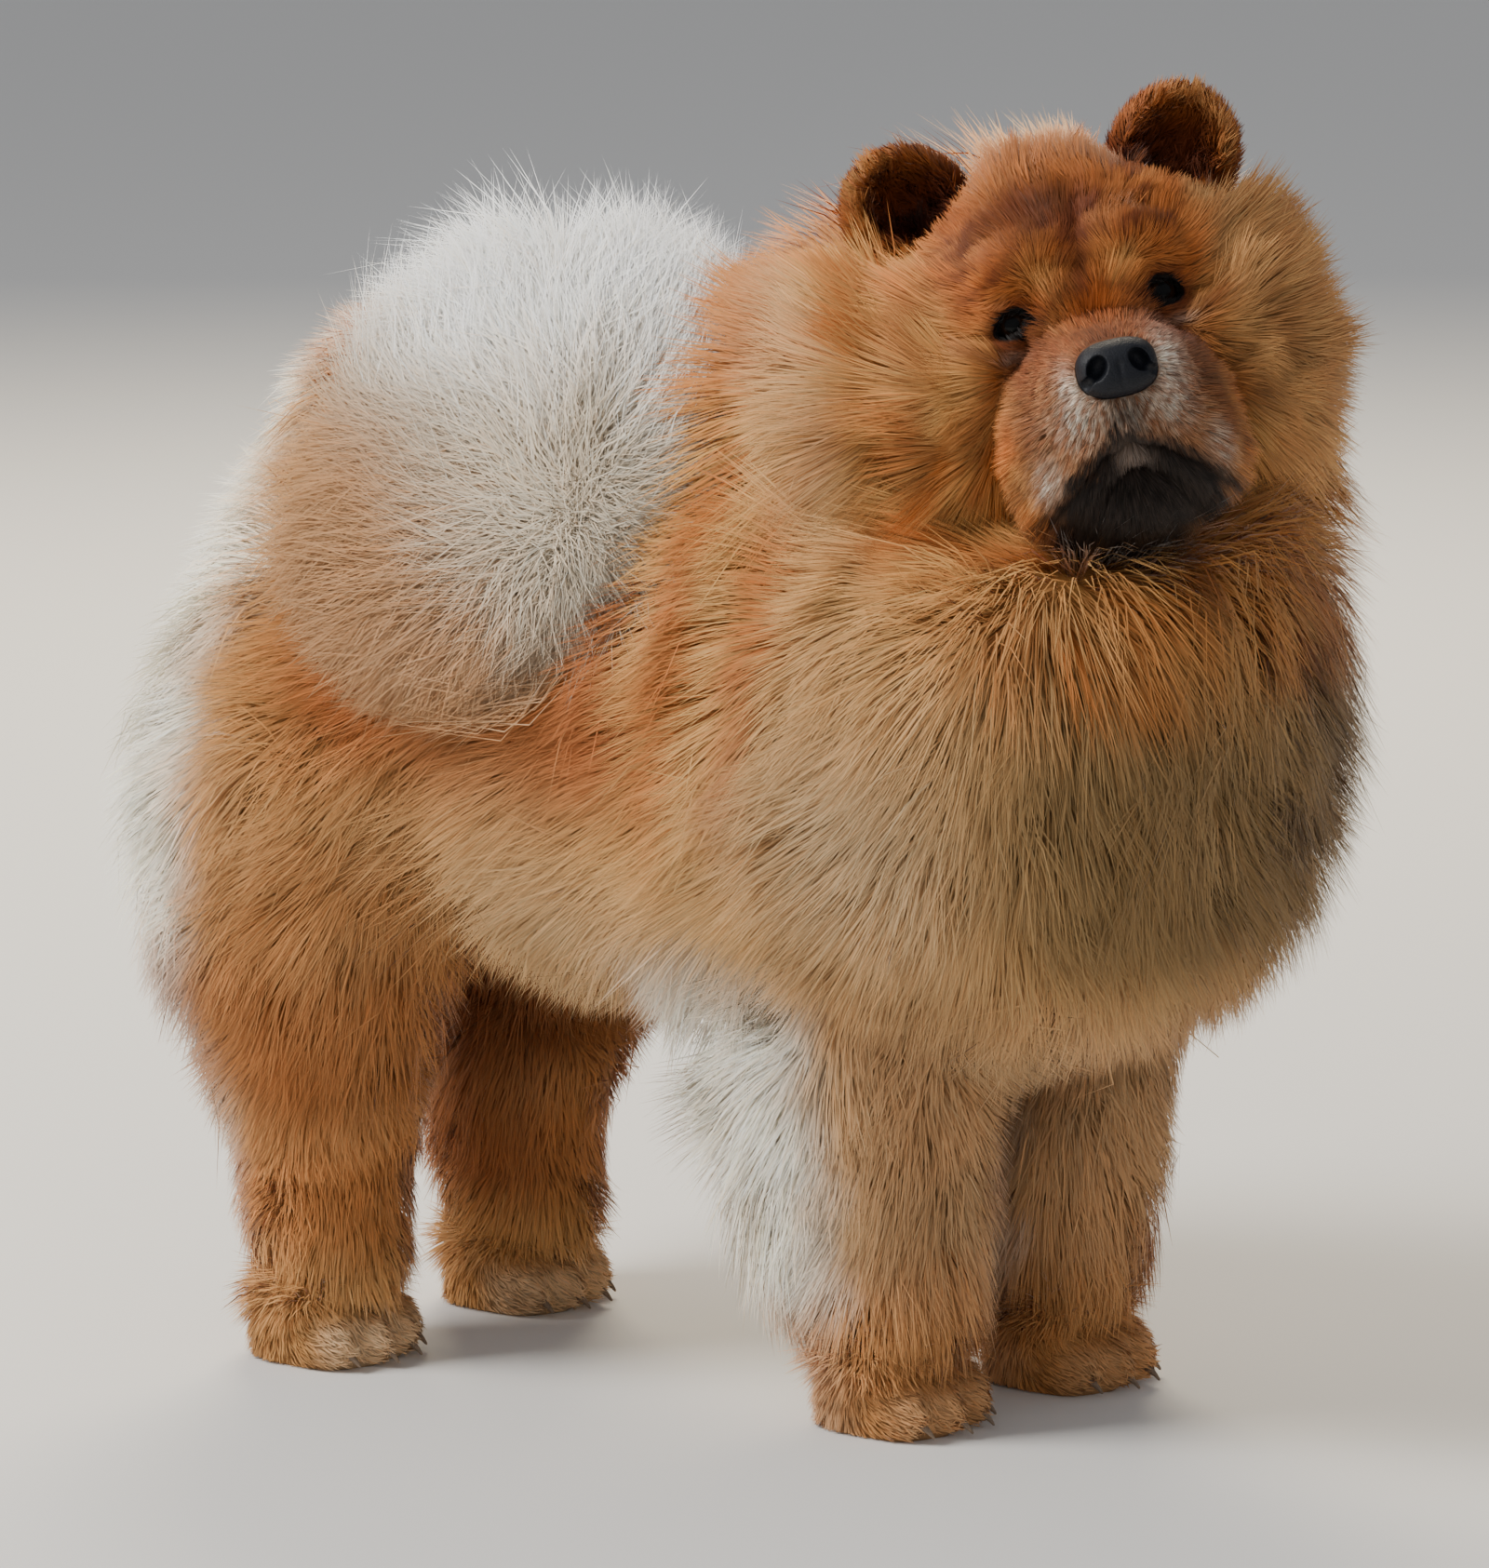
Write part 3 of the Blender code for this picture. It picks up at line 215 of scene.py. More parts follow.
class Form:
    """A closed surface lofted through stations.

    A station is (x, y, z, half width, half height above, half height below): the width lies along
    the side axis and the height along the rise axis. The first and last stations have no width.
    """

    def __init__(self, stations, side=(0, 1, 0), rise=(0, 0, 1), power=2.0, matrix=None):
        self.rows = np.asarray(stations, float)
        self.side = np.asarray(side, float)
        self.rise = np.asarray(rise, float)
        self.power = power
        self.matrix = np.array(matrix) if matrix is not None else np.eye(4)

    def row(self, u):
        """The station at a share u along, on a smooth curve through all of them."""
        rows = self.rows
        last = len(rows) - 1
        place = np.clip(u, 0, 1) * last
        i = np.minimum(place.astype(int), last - 1)
        f = (place - i)[..., None]
        a, b = rows[i], rows[i + 1]
        before, after = rows[np.maximum(i - 1, 0)], rows[np.minimum(i + 2, last)]
        slope_a = np.where((i > 0)[..., None], (b - before) / 2, b - a)
        slope_b = np.where((i + 1 < last)[..., None], (after - a) / 2, b - a)
        from_a = a * (2 * f**3 - 3 * f**2 + 1) + slope_a * (f**3 - 2 * f**2 + f)
        from_b = b * (-2 * f**3 + 3 * f**2) + slope_b * (f**3 - f**2)
        return from_a + from_b

    def at(self, u, v):
        """The points a share u along, at the angle v from the side axis towards the rise axis."""
        row = self.row(u)
        c, s = np.cos(v), np.sin(v)
        share = 2 / self.power
        across = np.sign(c) * np.abs(c) ** share * np.maximum(row[..., 3], 0)
        height = np.maximum(np.where(s > 0, row[..., 4], row[..., 5]), 0)
        along = np.sign(s) * np.abs(s) ** share * height
        return row[..., :3] + across[..., None] * self.side + along[..., None] * self.rise

    def point(self, u, v):
        return self.at(u, v) @ self.matrix[:3, :3].T + self.matrix[:3, 3]

    def inner(self, side, above, below, pull):
        """The same form with its half sizes less by these depths, and its two ends pulled in."""
        rows = self.rows.copy()
        middle = (rows[0, :3] + rows[-1, :3]) / 2
        length = np.linalg.norm(rows[-1, :3] - rows[0, :3])
        rows[:, :3] = middle + (rows[:, :3] - middle) * (1 - 2 * pull / length)
        for column, depth in ((3, side), (4, above), (5, below)):
            sizes = self.rows[:, column]
            rows[:, column] = np.maximum(sizes - depth, 0.3 * sizes)
        return Form(rows, self.side, self.rise, self.power, self.matrix)

    def locate(self, points):
        """The (u, v) on the form's unwrap nearest to each point, and how far outside it lies."""
        local = (points - self.matrix[:3, 3]) @ self.matrix[:3, :3]
        grid = np.linspace(0, 1, 80)
        rows = self.row(grid)
        axis = unit(rows[-1, :3] - rows[0, :3])
        stations = rows[:, :3] @ axis
        order = np.argsort(stations)
        along = local @ axis
        u = np.interp(along, stations[order], grid[order])
        here = self.row(u)
        away = local - here[:, :3]
        across, up = away @ self.side, away @ self.rise
        wide = np.maximum(here[:, 3], 1e-4)
        high = np.maximum(np.where(up > 0, here[:, 4], here[:, 5]), 1e-4)
        level = np.abs(across / wide) ** self.power + np.abs(up / high) ** self.power
        out = (level ** (1 / self.power) - 1) * np.minimum(wide, high)
        beyond = np.maximum(stations.min() - along, along - stations.max())
        return u, np.arctan2(up / high, across / wide), np.maximum(out, beyond)

    def holds(self, points, margin=0.0):
        """Whether each point lies more than the margin inside the form."""
        return self.locate(points)[2] < -margin

    def mesh(self, rings=40, sides=48):
        """A closed mesh object of the surface."""
        u = np.linspace(0, 1, rings + 1)[1:-1]
        v = np.linspace(0, math.tau, sides, endpoint=False)
        grid = self.point(*np.meshgrid(u, v, indexing="ij"))
        bm = bmesh.new()
        ends = self.point(np.array([0.0, 1.0]), np.array([0.0, 0.0]))
        loops = [[bm.verts.new(ends[0])]]
        loops += [[bm.verts.new(p) for p in ring] for ring in grid]
        loops.append([bm.verts.new(ends[1])])
        skin_loops(bm, loops)
        return object_from("form", bm)


def unit(vectors):
    return vectors / np.maximum(np.linalg.norm(vectors, axis=-1, keepdims=True), 1e-12)


def skin_loops(bm, loops):
    """Faces between loops of vertices. A loop of one vertex is a point."""
    for a, b in zip(loops, loops[1:]):
        count = max(len(a), len(b))
        for k in range(count):
            j = (k + 1) % count
            corners = [a[k % len(a)], b[k % len(b)], b[j % len(b)], a[j % len(a)]]
            bm.faces.new(list(dict.fromkeys(corners)))


def object_from(name, bm):
    """An object of the bmesh, its faces pointing out."""
    bmesh.ops.recalc_face_normals(bm, faces=bm.faces)
    mesh = bpy.data.meshes.new(name)
    bm.to_mesh(mesh)
    bm.free()
    obj = bpy.data.objects.new(name, mesh)
    bpy.context.scene.collection.objects.link(obj)
    return obj


def ellipsoid(centre, radii, matrix=None, turn=None, segments=32, rings=20):
    """A closed ellipsoid, its radii along the frame's own axes, or turned from them."""
    bm = bmesh.new()
    bmesh.ops.create_uvsphere(bm, u_segments=segments, v_segments=rings, radius=1.0)
    shape = (turn or Matrix.Identity(4)) @ Matrix.Diagonal((*radii, 1.0))
    bm.transform((matrix or Matrix.Identity(4)) @ Matrix.Translation(Vector(centre)) @ shape)
    return object_from("ellipsoid", bm)


def tube(points, radii, matrix=None, sides=10):
    """A closed tube along the points, with pointed ends."""
    points = [(matrix or Matrix.Identity(4)) @ Vector(p) for p in points]
    radii = [radii] * len(points) if isinstance(radii, float) else radii
    bm = bmesh.new()
    first = (points[1] - points[0]).normalized()
    last = (points[-1] - points[-2]).normalized()
    loops = [[bm.verts.new(points[0] - first * radii[0])]]
    across = first.orthogonal().normalized()
    for i, point in enumerate(points):
        ahead = (points[min(i + 1, len(points) - 1)] - points[max(i - 1, 0)]).normalized()
        across = (across - ahead * across.dot(ahead)).normalized()
        over = ahead.cross(across)
        turns = [math.tau * k / sides for k in range(sides)]
        ring = [across * math.cos(a) + over * math.sin(a) for a in turns]
        loops.append([bm.verts.new(point + way * radii[i]) for way in ring])
    loops.append([bm.verts.new(points[-1] + last * radii[-1])])
    skin_loops(bm, loops)
    return object_from("tube", bm)


def boolean(target, others, operation):
    """Joins the others to the target, or cuts them from it, and removes them."""
    group = bpy.data.collections.new("operands")
    bpy.context.scene.collection.children.link(group)
    for other in others:
        bpy.context.scene.collection.objects.unlink(other)
        group.objects.link(other)
    modifier = target.modifiers.new("boolean", "BOOLEAN")
    modifier.operation = operation
    modifier.operand_type = "COLLECTION"
    modifier.collection = group
    modifier.solver = "MANIFOLD"
    apply_modifiers(target)
    for other in others:
        bpy.data.objects.remove(other)
    bpy.data.collections.remove(group)
    return target


def apply_modifiers(obj):
    bpy.context.view_layer.update()
    graph = bpy.context.evaluated_depsgraph_get()
    mesh = bpy.data.meshes.new_from_object(obj.evaluated_get(graph))
    obj.modifiers.clear()
    obj.data = mesh


def joined(name, pieces):
    """One object of the pieces' meshes, which it takes the place of."""
    bm = bmesh.new()
    for piece in pieces:
        bm.from_mesh(piece.data)
        bpy.data.objects.remove(piece)
    return object_from(name, bm)


def melt(pieces, voxel, smoothing):
    """One smooth closed mesh of the overlapping pieces."""
    obj = joined("melted", pieces)
    remesh = obj.modifiers.new("remesh", "REMESH")
    remesh.mode = "VOXEL"
    remesh.voxel_size = voxel
    smooth = obj.modifiers.new("smooth", "SMOOTH")
    smooth.factor = 0.5
    smooth.iterations = smoothing
    apply_modifiers(obj)
    return obj


def places(obj):
    """The object's vertices, one row each."""
    flat = np.empty(len(obj.data.vertices) * 3, np.float32)
    obj.data.vertices.foreach_get("co", flat)
    return flat.reshape(-1, 3).astype(float)


def normals_of(obj):
    """The normals at the object's vertices, one row each."""
    flat = np.empty(len(obj.data.vertices) * 3, np.float32)
    obj.data.vertex_normals.foreach_get("vector", flat)
    return flat.reshape(-1, 3)


def set_places(obj, points):
    obj.data.vertices.foreach_set("co", points.astype(np.float32).ravel())
    obj.data.update()


# The coat's surface, out to its tips, and the skin, one form for each part of the body


def from_mm(rows, foot=(0.0, 0.0), side=1):
    """Stations of a form, from millimetres.

    A row is forward and outward from the foot, height, half width, half height above and below. A
    row of the first three is a point, where the form ends.
    """
    made = np.array([(*row, 0, 0, 0)[:6] for row in rows]) / 1000
    made[:, 0] += foot[0]
    made[:, 1] = foot[1] + side * made[:, 1]
    return made


def torso_coat():
    rows = [
        (346, -3, 450),
        (340, -3, 444, 82, 52, 120),
        (314, -2, 426, 140, 86, 192),
        (252, 0, 398, 178, 122, 204),
        (150, 0, 374, 187, 160, 190),
        (50, 0, 368, 180, 170, 178),
        (-60, -4, 370, 168, 164, 172),
        (-150, -10, 374, 162, 156, 160),
        (-215, -14, 380, 146, 138, 146),
        (-262, -16, 385, 108, 104, 116),
        (-292, -18, 388, 60, 58, 68),
        (-302, -18, 388),
    ]
    return Form(from_mm(rows), power=2.5)


def neck_coat():
    """The ruff, a collar of coat behind the face, and the mane that it runs into."""
    rows = [
        (238, -42, 545),
        (236, -40, 545, 92, 45, 85),
        (228, -32, 545, 140, 80, 145),
        (208, -14, 540, 168, 126, 184),
        (172, 6, 524, 180, 172, 196),
        (120, 16, 492, 177, 178, 184),
        (70, 14, 455, 155, 152, 155),
        (25, 10, 428, 100, 100, 105),
        (5, 8, 418),
    ]
    side = Matrix.Rotation(HEAD_TURN * 0.62, 3, "Z") @ Vector((0, 1, 0))
    return Form(from_mm(rows), side=side)


def thigh_coat(side):
    rows = [
        (5, 12, 470),
        (3, 12, 462, 42, 50, 40),
        (-2, 12, 430, 66, 90, 66),
        (-5, 12, 370, 79, 120, 96),
        (-4, 12, 300, 82, 118, 116),
        (-2, 12, 235, 76, 98, 116),
        (0, 12, 180, 64, 76, 93),
        (2, 12, 140, 54, 60, 66),
        (2, 12, 118, 34, 42, 44),
        (2, 12, 112),
    ]
    return Form(from_mm(rows, HIND_FEET[side], side), rise=(1, 0, 0))


def hindleg_coat(side):
    """From the hock to the foot."""
    rows = [
        (2, 0, 200),
        (2, 0, 192, 32, 38, 40),
        (2, 0, 160, 50, 58, 62),
        (0, 0, 120, 48, 50, 60),
        (0, 0, 80, 45, 46, 58),
        (2, 0, 50, 42, 44, 53),
        (4, 0, 28, 30, 32, 36),
        (4, 0, 20),
    ]
    return Form(from_mm(rows, HIND_FEET[side]), rise=(1, 0, 0))


def foreleg_coat(side):
    rows = [
        (-10, 20, 350),
        (-10, 20, 340, 42, 50, 50),
        (-8, 18, 300, 62, 78, 86),
        (-4, 13, 245, 67, 80, 110),
        (-2, 6, 190, 60, 64, 130),
        (0, 0, 130, 50, 52, 134),
        (0, 0, 80, 43, 45, 104),
        (1, 0, 48, 40, 42, 58),
        (2, 0, 28, 28, 30, 34),
        (2, 0, 20),
    ]
    return Form(from_mm(rows, FORE_FEET[side], side), rise=(1, 0, 0))


# Stations of the plume: distance from its tip, half width, half height of its outer and inner face
PLUME = np.array(
    [
        (-34, 0, 0, 0),
        (-30, 60, 18, 30),
        (-8, 112, 34, 45),
        (40, 148, 46, 55),
        (90, 154, 50, 60),
        (140, 152, 46, 55),
        (188, 136, 34, 40),
        (218, 90, 20, 24),
        (226, 0, 0, 0),
    ]
) / 1000


def plume_coat():
    rows = [(*(PLUME_TIP + PLUME_AWAY * s), *sizes) for s, *sizes in PLUME.tolist()]
    return Form(rows, side=PLUME_ACROSS, rise=PLUME_OUT)


def tail_root_coat():
    """The root of the tail, up from the croup and forward into the plume."""
    rows = [
        (-208, -20, 410),
        (-212, -20, 420, 45, 28, 28),
        (-222, -24, 458, 64, 42, 42),
        (-205, -34, 500, 72, 52, 52),
        (-160, -50, 530, 68, 54, 54),
        (-110, -70, 545, 40, 35, 35),
        (-95, -75, 545),
    ]
    return Form(from_mm(rows), rise=Vector((-0.707, 0, 0.707)))


def cranium_form(less=0.0):
    rows = from_mm(
        [
            (27, 0, -14),
            (24, 0, -14, 36, 30, 40),
            (11, 0, -14, 68, 58, 74),
            (-18, 0, -14, 95, 82, 98),
            (-58, 0, -14, 110, 95, 108),
            (-100, 0, -16, 104, 92, 102),
            (-138, 0, -20, 76, 70, 74),
            (-157, 0, -20, 38, 36, 36),
            (-162, 0, -20),
        ]
    )
    rows[:, 3:] *= 1 - less / 0.1
    rows[:3, 0] -= less * 0.5
    return Form(rows, matrix=HEAD)


def cheek_coat():
    """The long coat that stands out round the face, from the cheeks and the crown."""
    longer = {3: 0.038, 4: 0.026, 5: 0.044}
    form = cranium_form()
    for column, length in longer.items():
        form.rows[2:-2, column] += length
        form.rows[[1, -2], column] += length * 0.6
    return form


def muzzle_form(less=0.0):
    """The bridge of the nose and the front of the muzzle under it."""
    rows = from_mm(
        [
            (-30, 0, -44),
            (-26, 0, -44, 40, 26, 40),
            (5, 0, -46, 50, 36, 50),
            (36, 0, -48, 47, 36, 46),
            (58, 0, -48, 41, 33, 36),
            (73, 0, -46, 32, 27, 27),
            (82, 0, -43, 18, 16, 16),
            (84, 0, -42),
        ]
    )
    rows[1:-1, 3:] -= less
    rows[-3:, 0] -= less
    return Form(rows, power=2.4, matrix=HEAD)


def nose_form(grow=0.0):
    """The leather pad: broad above, narrower below."""
    rows = from_mm(
        [
            (-12, 0, 0),
            (-11, 0, 0, 15, 11, 11),
            (-2, 0, 0, 19.5, 14, 14),
            (7, 0, 0, 20, 14, 14.5),
            (13.5, 0, -1, 16.5, 11.5, 11.5),
            (16.5, 0, -1.5, 9.5, 6.5, 6.5),
            (17.2, 0, -1.5),
        ]
    )
    rows[:, :3] += NOSE_AT
    rows[1:-1, 3:] += grow
    return Form(rows, power=2.6, matrix=HEAD)


def body_forms():
    """Each long-coated part's coat and its skin, a little deeper than the solids' cores."""
    made = {
        "torso": (torso_coat(), (0.042, 0.038, 0.038, 0.036)),
        "neck": (neck_coat(), (0.048, 0.060, 0.048, 0.012)),
        "plume": (plume_coat(), (0.066, 0.026, 0.028, 0.026)),
        "tail_root": (tail_root_coat(), (0.028, 0.026, 0.020, 0.008)),
    }
    for side, word in SIDES:
        made["thigh_" + word] = (thigh_coat(side), (0.032, 0.032, 0.044, 0.012))
        made["hindleg_" + word] = (hindleg_coat(side), (0.014, 0.012, 0.021, 0.004))
        made["foreleg_" + word] = (foreleg_coat(side), (0.019, 0.017, 0.056, 0.008))
    return {name: (coat, coat.inner(*depths)) for name, (coat, depths) in made.items()}


# The head's skin


def eye_turn(side):
    """The opening faces a little outward, and its outer corner hangs lower."""
    return Matrix.Rotation(EYE_OUTWARD * side, 4, "Z") @ Matrix.Rotation(-EYE_DROOP * side, 4, "X")


def almond(side, scale, ahead, count=28):
    """Points round the eye's opening, at a distance ahead of the eye's centre."""
    points = []
    for k in range(count):
        angle = math.tau * k / count
        wide = math.cos(angle) * EYE_LONG * scale
        tall = math.sin(angle) * EYE_TALL * scale * (1 - 0.25 * abs(math.cos(angle)))
        points.append(eye_centre(side) + eye_turn(side) @ Vector((ahead, wide, tall)))
    return points


def lids(side):
    """The upper and the lower lid, each a tube along one half of the opening."""
    ring = almond(side, 1.13, EYE_RADIUS * 0.86)
    half = len(ring) // 2
    upper, lower = ring[: half + 1], ring[half:] + ring[:1]
    return [tube(line, LID * 0.8, HEAD) for line in (upper, lower)]


def lid_opening(side):
    """A prism through the lids, wider at its mouth."""
    bm = bmesh.new()
    loops = [[bm.verts.new(HEAD @ (eye_centre(side) + eye_turn(side) @ Vector((-0.002, 0, 0))))]]
    for ahead, scale in ((0.0, 1.0), (0.012, 1.0), (0.030, 2.2)):
        loops.append([bm.verts.new(HEAD @ p) for p in almond(side, scale, ahead)])
    loops.append([bm.verts.new(HEAD @ (eye_centre(side) + eye_turn(side) @ Vector((0.032, 0, 0))))])
    skin_loops(bm, loops)
    return object_from("opening", bm)


def ear_turn(side):
    return Matrix.Rotation(EAR_SPREAD * side, 4, "X") @ Matrix.Rotation(EAR_LEAN, 4, "Y")


def ear_centre(side):
    return Vector((EAR_AT.x, EAR_AT.y * side, EAR_AT.z))


def ear_shell(side, less=0.0):
    """A thick rounded ear that leans forward and outward."""
    return ellipsoid(ear_centre(side), [r - less for r in EAR_RADII], HEAD, ear_turn(side))


def ear_cup(side, more=0.0):
    ahead = Vector((CUP_AHEAD.x, CUP_AHEAD.y * side, CUP_AHEAD.z))
    return ellipsoid(ear_centre(side) + ahead, [r + more for r in CUP_RADII], HEAD, ear_turn(side))


def run_along(corners, count):
    """Points along a line of corners, as many between each two."""
    corners = np.array(corners, float)
    steps = np.linspace(0, len(corners) - 1, count)
    i = np.minimum(steps.astype(int), len(corners) - 2)
    f = (steps - i)[:, None]
    return corners[i] * (1 - f) + corners[i + 1] * f


def mouth_curve(count=61):
    """Points (left, up) of the mouth, an arch that is highest under the nose."""
    return run_along(MOUTH + [(-y, z) for y, z in MOUTH[-2::-1]], count)


def near_line(points, line):
    """The distance of each (left, up) point from the line's points."""
    gaps = points[:, None, :] - line[None, :, :]
    return np.sqrt((gaps**2).sum(axis=-1)).min(axis=1)


def head_parts(points):
    """Places in the head's own frame, and their forward, sideways and upward distances."""
    q = to_head(points)
    return q, q[:, 0], np.abs(q[:, 1]), q[:, 2]


def to_head(points):
    """Places in the head's own frame."""
    return (points - HEAD_PLACE) @ HEAD_TURNED


def from_head(points):
    return points @ HEAD_TURNED.T + HEAD_PLACE


def stroke(*corners):
    return run_along(corners, 10 * len(corners))


def face_creases():
    """Lines of the face on (left, up), each with its depth, width and darkness of painted shade."""
    lines = [
        (stroke((0.006, 0.054), (0.003, 0.034), (-0.003, 0.010)), 0.0034, 0.0060, 0.80),
        (stroke((-0.040, 0.050), (-0.014, 0.046), (0.010, 0.052), (0.030, 0.048)), 0.0016, 0.0080, 0.50),
        (stroke((-0.018, 0.066), (-0.024, 0.058), (-0.016, 0.052)), 0.0016, 0.0060, 0.55),
    ]
    for s in (RIGHT, LEFT):
        lines += [
            (stroke((0.009 * s, 0.012), (0.020 * s, 0.006), (0.029 * s, -0.005)), 0.0022, 0.0045, 0.60),
            (stroke((0.012 * s, 0.041), (0.028 * s, 0.043), (0.044 * s, 0.036)), 0.0010, 0.0070, 0.30),
            (stroke((0.028 * s, -0.009), (0.043 * s, -0.028), (0.049 * s, -0.056), (0.056 * s, -0.084)),
             0.0034, 0.0056, 0.55),
            (stroke((0.047 * s, -0.008), (0.058 * s, -0.010), (0.069 * s, -0.007)), 0.0026, 0.0050, 0.65),
            (stroke((0.027 * s, -0.040), (0.036 * s, -0.064)), 0.0010, 0.0018, 0.45),
            (stroke((0.033 * s, -0.030), (0.043 * s, -0.058)), 0.0010, 0.0018, 0.40),
            (stroke((0.018 * s, -0.010), (0.032 * s, -0.026)), 0.0008, 0.0020, 0.30),
            (stroke((0.094 * s, -0.006), (0.098 * s, -0.048)), 0.0030, 0.0090, 0.45),
            (stroke((0.064 * s, -0.030), (0.075 * s, -0.062)), 0.0030, 0.0080, 0.45),
        ]
    return lines


CREASES = face_creases()


def crease_at(q):
    """How far each point in the head's own frame lies in a crease: its depth, and its darkness, which is
    painted shade.
    """
    front = rise(-0.05, -0.01, q[:, 0])
    depth, dark = np.zeros(len(q)), np.zeros(len(q))
    for line, deep, width, shade in CREASES:
        near = np.exp(-((near_line(q[:, 1:], line) / width) ** 2)) * front
        depth += deep * near
        dark = np.maximum(dark, shade * near)
    return depth, dark


# The line of the mouth and the lips on both sides of it
MOUTH_DEEP = 0.0060
MOUTH_WIDE = 0.0030
LOWER_LIP_BACK = 0.0060
LIP_PROUD = 0.0016
LIP_AWAY = 0.0065

# The mouth's height by the distance from the middle
LIP = [-y for y, _ in MOUTH[::-1]], [z for _, z in MOUTH[::-1]]


def head_skin():
    """The skull, muzzle, lips, brows, cheeks, folds, jaw, lids and ears as one mesh."""
    pieces = [cranium_form(0.007).mesh(), muzzle_form(0.002).mesh()]

    def lump(centre, radii, less):
        pieces.append(ellipsoid(centre, [r - less for r in radii], HEAD))

    for side in (RIGHT, LEFT):
        lump((0.036, 0.023 * side, -0.066), (0.040, 0.030, 0.038), 0.002)
        lump((0.001, 0.025 * side, 0.022), (0.021, 0.027, 0.020), 0.002)
        lump((-0.016, 0.069 * side, -0.042), (0.037, 0.036, 0.050), 0.006)
        lump((0.003, 0.050 * side, -0.026), (0.019, 0.019, 0.026), 0.002)
        pieces.extend(lids(side))
        pieces.append(ear_shell(side, 0.003))
    lump((0.026, 0, -0.090), (0.043, 0.034, 0.024), 0.002)
    skin = melt(pieces, HEAD_VOXEL, 8)
    points = places(skin)
    local = to_head(points)
    local[:, 0] -= crease_at(local)[0]
    mouth = mouth_curve()
    front = rise(0.015, 0.035, local[:, 0]) * rise(-0.125, -0.11, local[:, 2])
    away = near_line(local[:, 1:], mouth)
    local[:, 0] -= front * MOUTH_DEEP * np.exp(-((away / MOUTH_WIDE) ** 2))
    under = rise(0.0, -0.010, local[:, 2] - np.interp(np.abs(local[:, 1]), *LIP))
    local[:, 0] -= front * under * LOWER_LIP_BACK
    local[:, 0] += front * LIP_PROUD * np.exp(-(((away - LIP_AWAY) / MOUTH_WIDE) ** 2))
    set_places(skin, from_head(local))
    cuts = [nose_form(0.0003).mesh(24, 32)]
    for side in (RIGHT, LEFT):
        radius = EYE_RADIUS + SOCKET_GAP
        cuts.append(ellipsoid(eye_centre(side), (radius, radius, radius), HEAD))
        cuts.append(lid_opening(side))
        cuts.append(ear_cup(side, 0.002))
    return boolean(skin, cuts, "DIFFERENCE")


# The feet


def pad_form(foot):
    """The heel and the middle of a round, cat-like foot."""
    rows = [
        (-44, 0, 14),
        (-41, 0, 14, 20, 18, 20),
        (-28, 0, 16, 36, 32, 30),
        (0, 0, 18, 42, 34, 34),
        (18, 0, 17, 40, 26, 32),
        (34, 0, 15, 30, 18, 24),
        (41, 0, 13),
    ]
    return Form(from_mm(rows, foot), power=2.5)


PAW_COAT = 0.004


def paw_pieces(foot):
    """The pad and the toes, less the depth of their short coat."""
    x, y = foot
    pieces = [pad_form(foot).inner(PAW_COAT, PAW_COAT, 0.0, PAW_COAT).mesh(24, 28)]
    for across, ahead in TOE_PLACES:
        toe = [r - PAW_COAT * 0.7 for r in TOE]
        pieces.append(ellipsoid((x + ahead, y + across, TOE_HEIGHT), toe))
    return pieces


def below_floor():
    bm = bmesh.new()
    bmesh.ops.create_cube(bm, size=1.0)
    bm.transform(Matrix.Translation((0, 0, -0.5)) @ Matrix.Diagonal((3, 3, 1, 1)))
    return object_from("below_floor", bm)


def all_feet():
    for side, word in SIDES:
        yield "forepaw_" + word, FORE_FEET[side]
        yield "hindpaw_" + word, HIND_FEET[side]


def body_skin(forms):
    """Everything but the head, as one smooth mesh that stands flat on the floor."""
    pieces = [skin.mesh() for _, skin in forms.values()]
    body = melt(pieces, BODY_VOXEL, 6)
    paws = [melt(paw_pieces(foot), PAW_VOXEL, 2) for _, foot in all_feet()]
    boolean(body, paws, "UNION")
    return boolean(body, [below_floor()], "DIFFERENCE")


def relief(p):
    """The lumps and hollows of the coat's surface, about -1 to 1: small on the face, large on the body."""
    q = to_head(p)
    face = rise(0.30, 0.20, np.linalg.norm(q, axis=1))
    fine = rise(-0.05, 0.0, q[:, 0]) * face
    large = 0.7 * wander(p, 0.060, 41) + 0.4 * wander(p, 0.030, 42)
    small = 0.7 * wander(p, 0.026, 43) + 0.4 * wander(p, 0.014, 44)
    return large * (1 - fine) + small * fine


# Markings, the same on skin and coat, with painted shade and painted light among them

AMBER = mix(ORANGE, GOLD, 0.15)


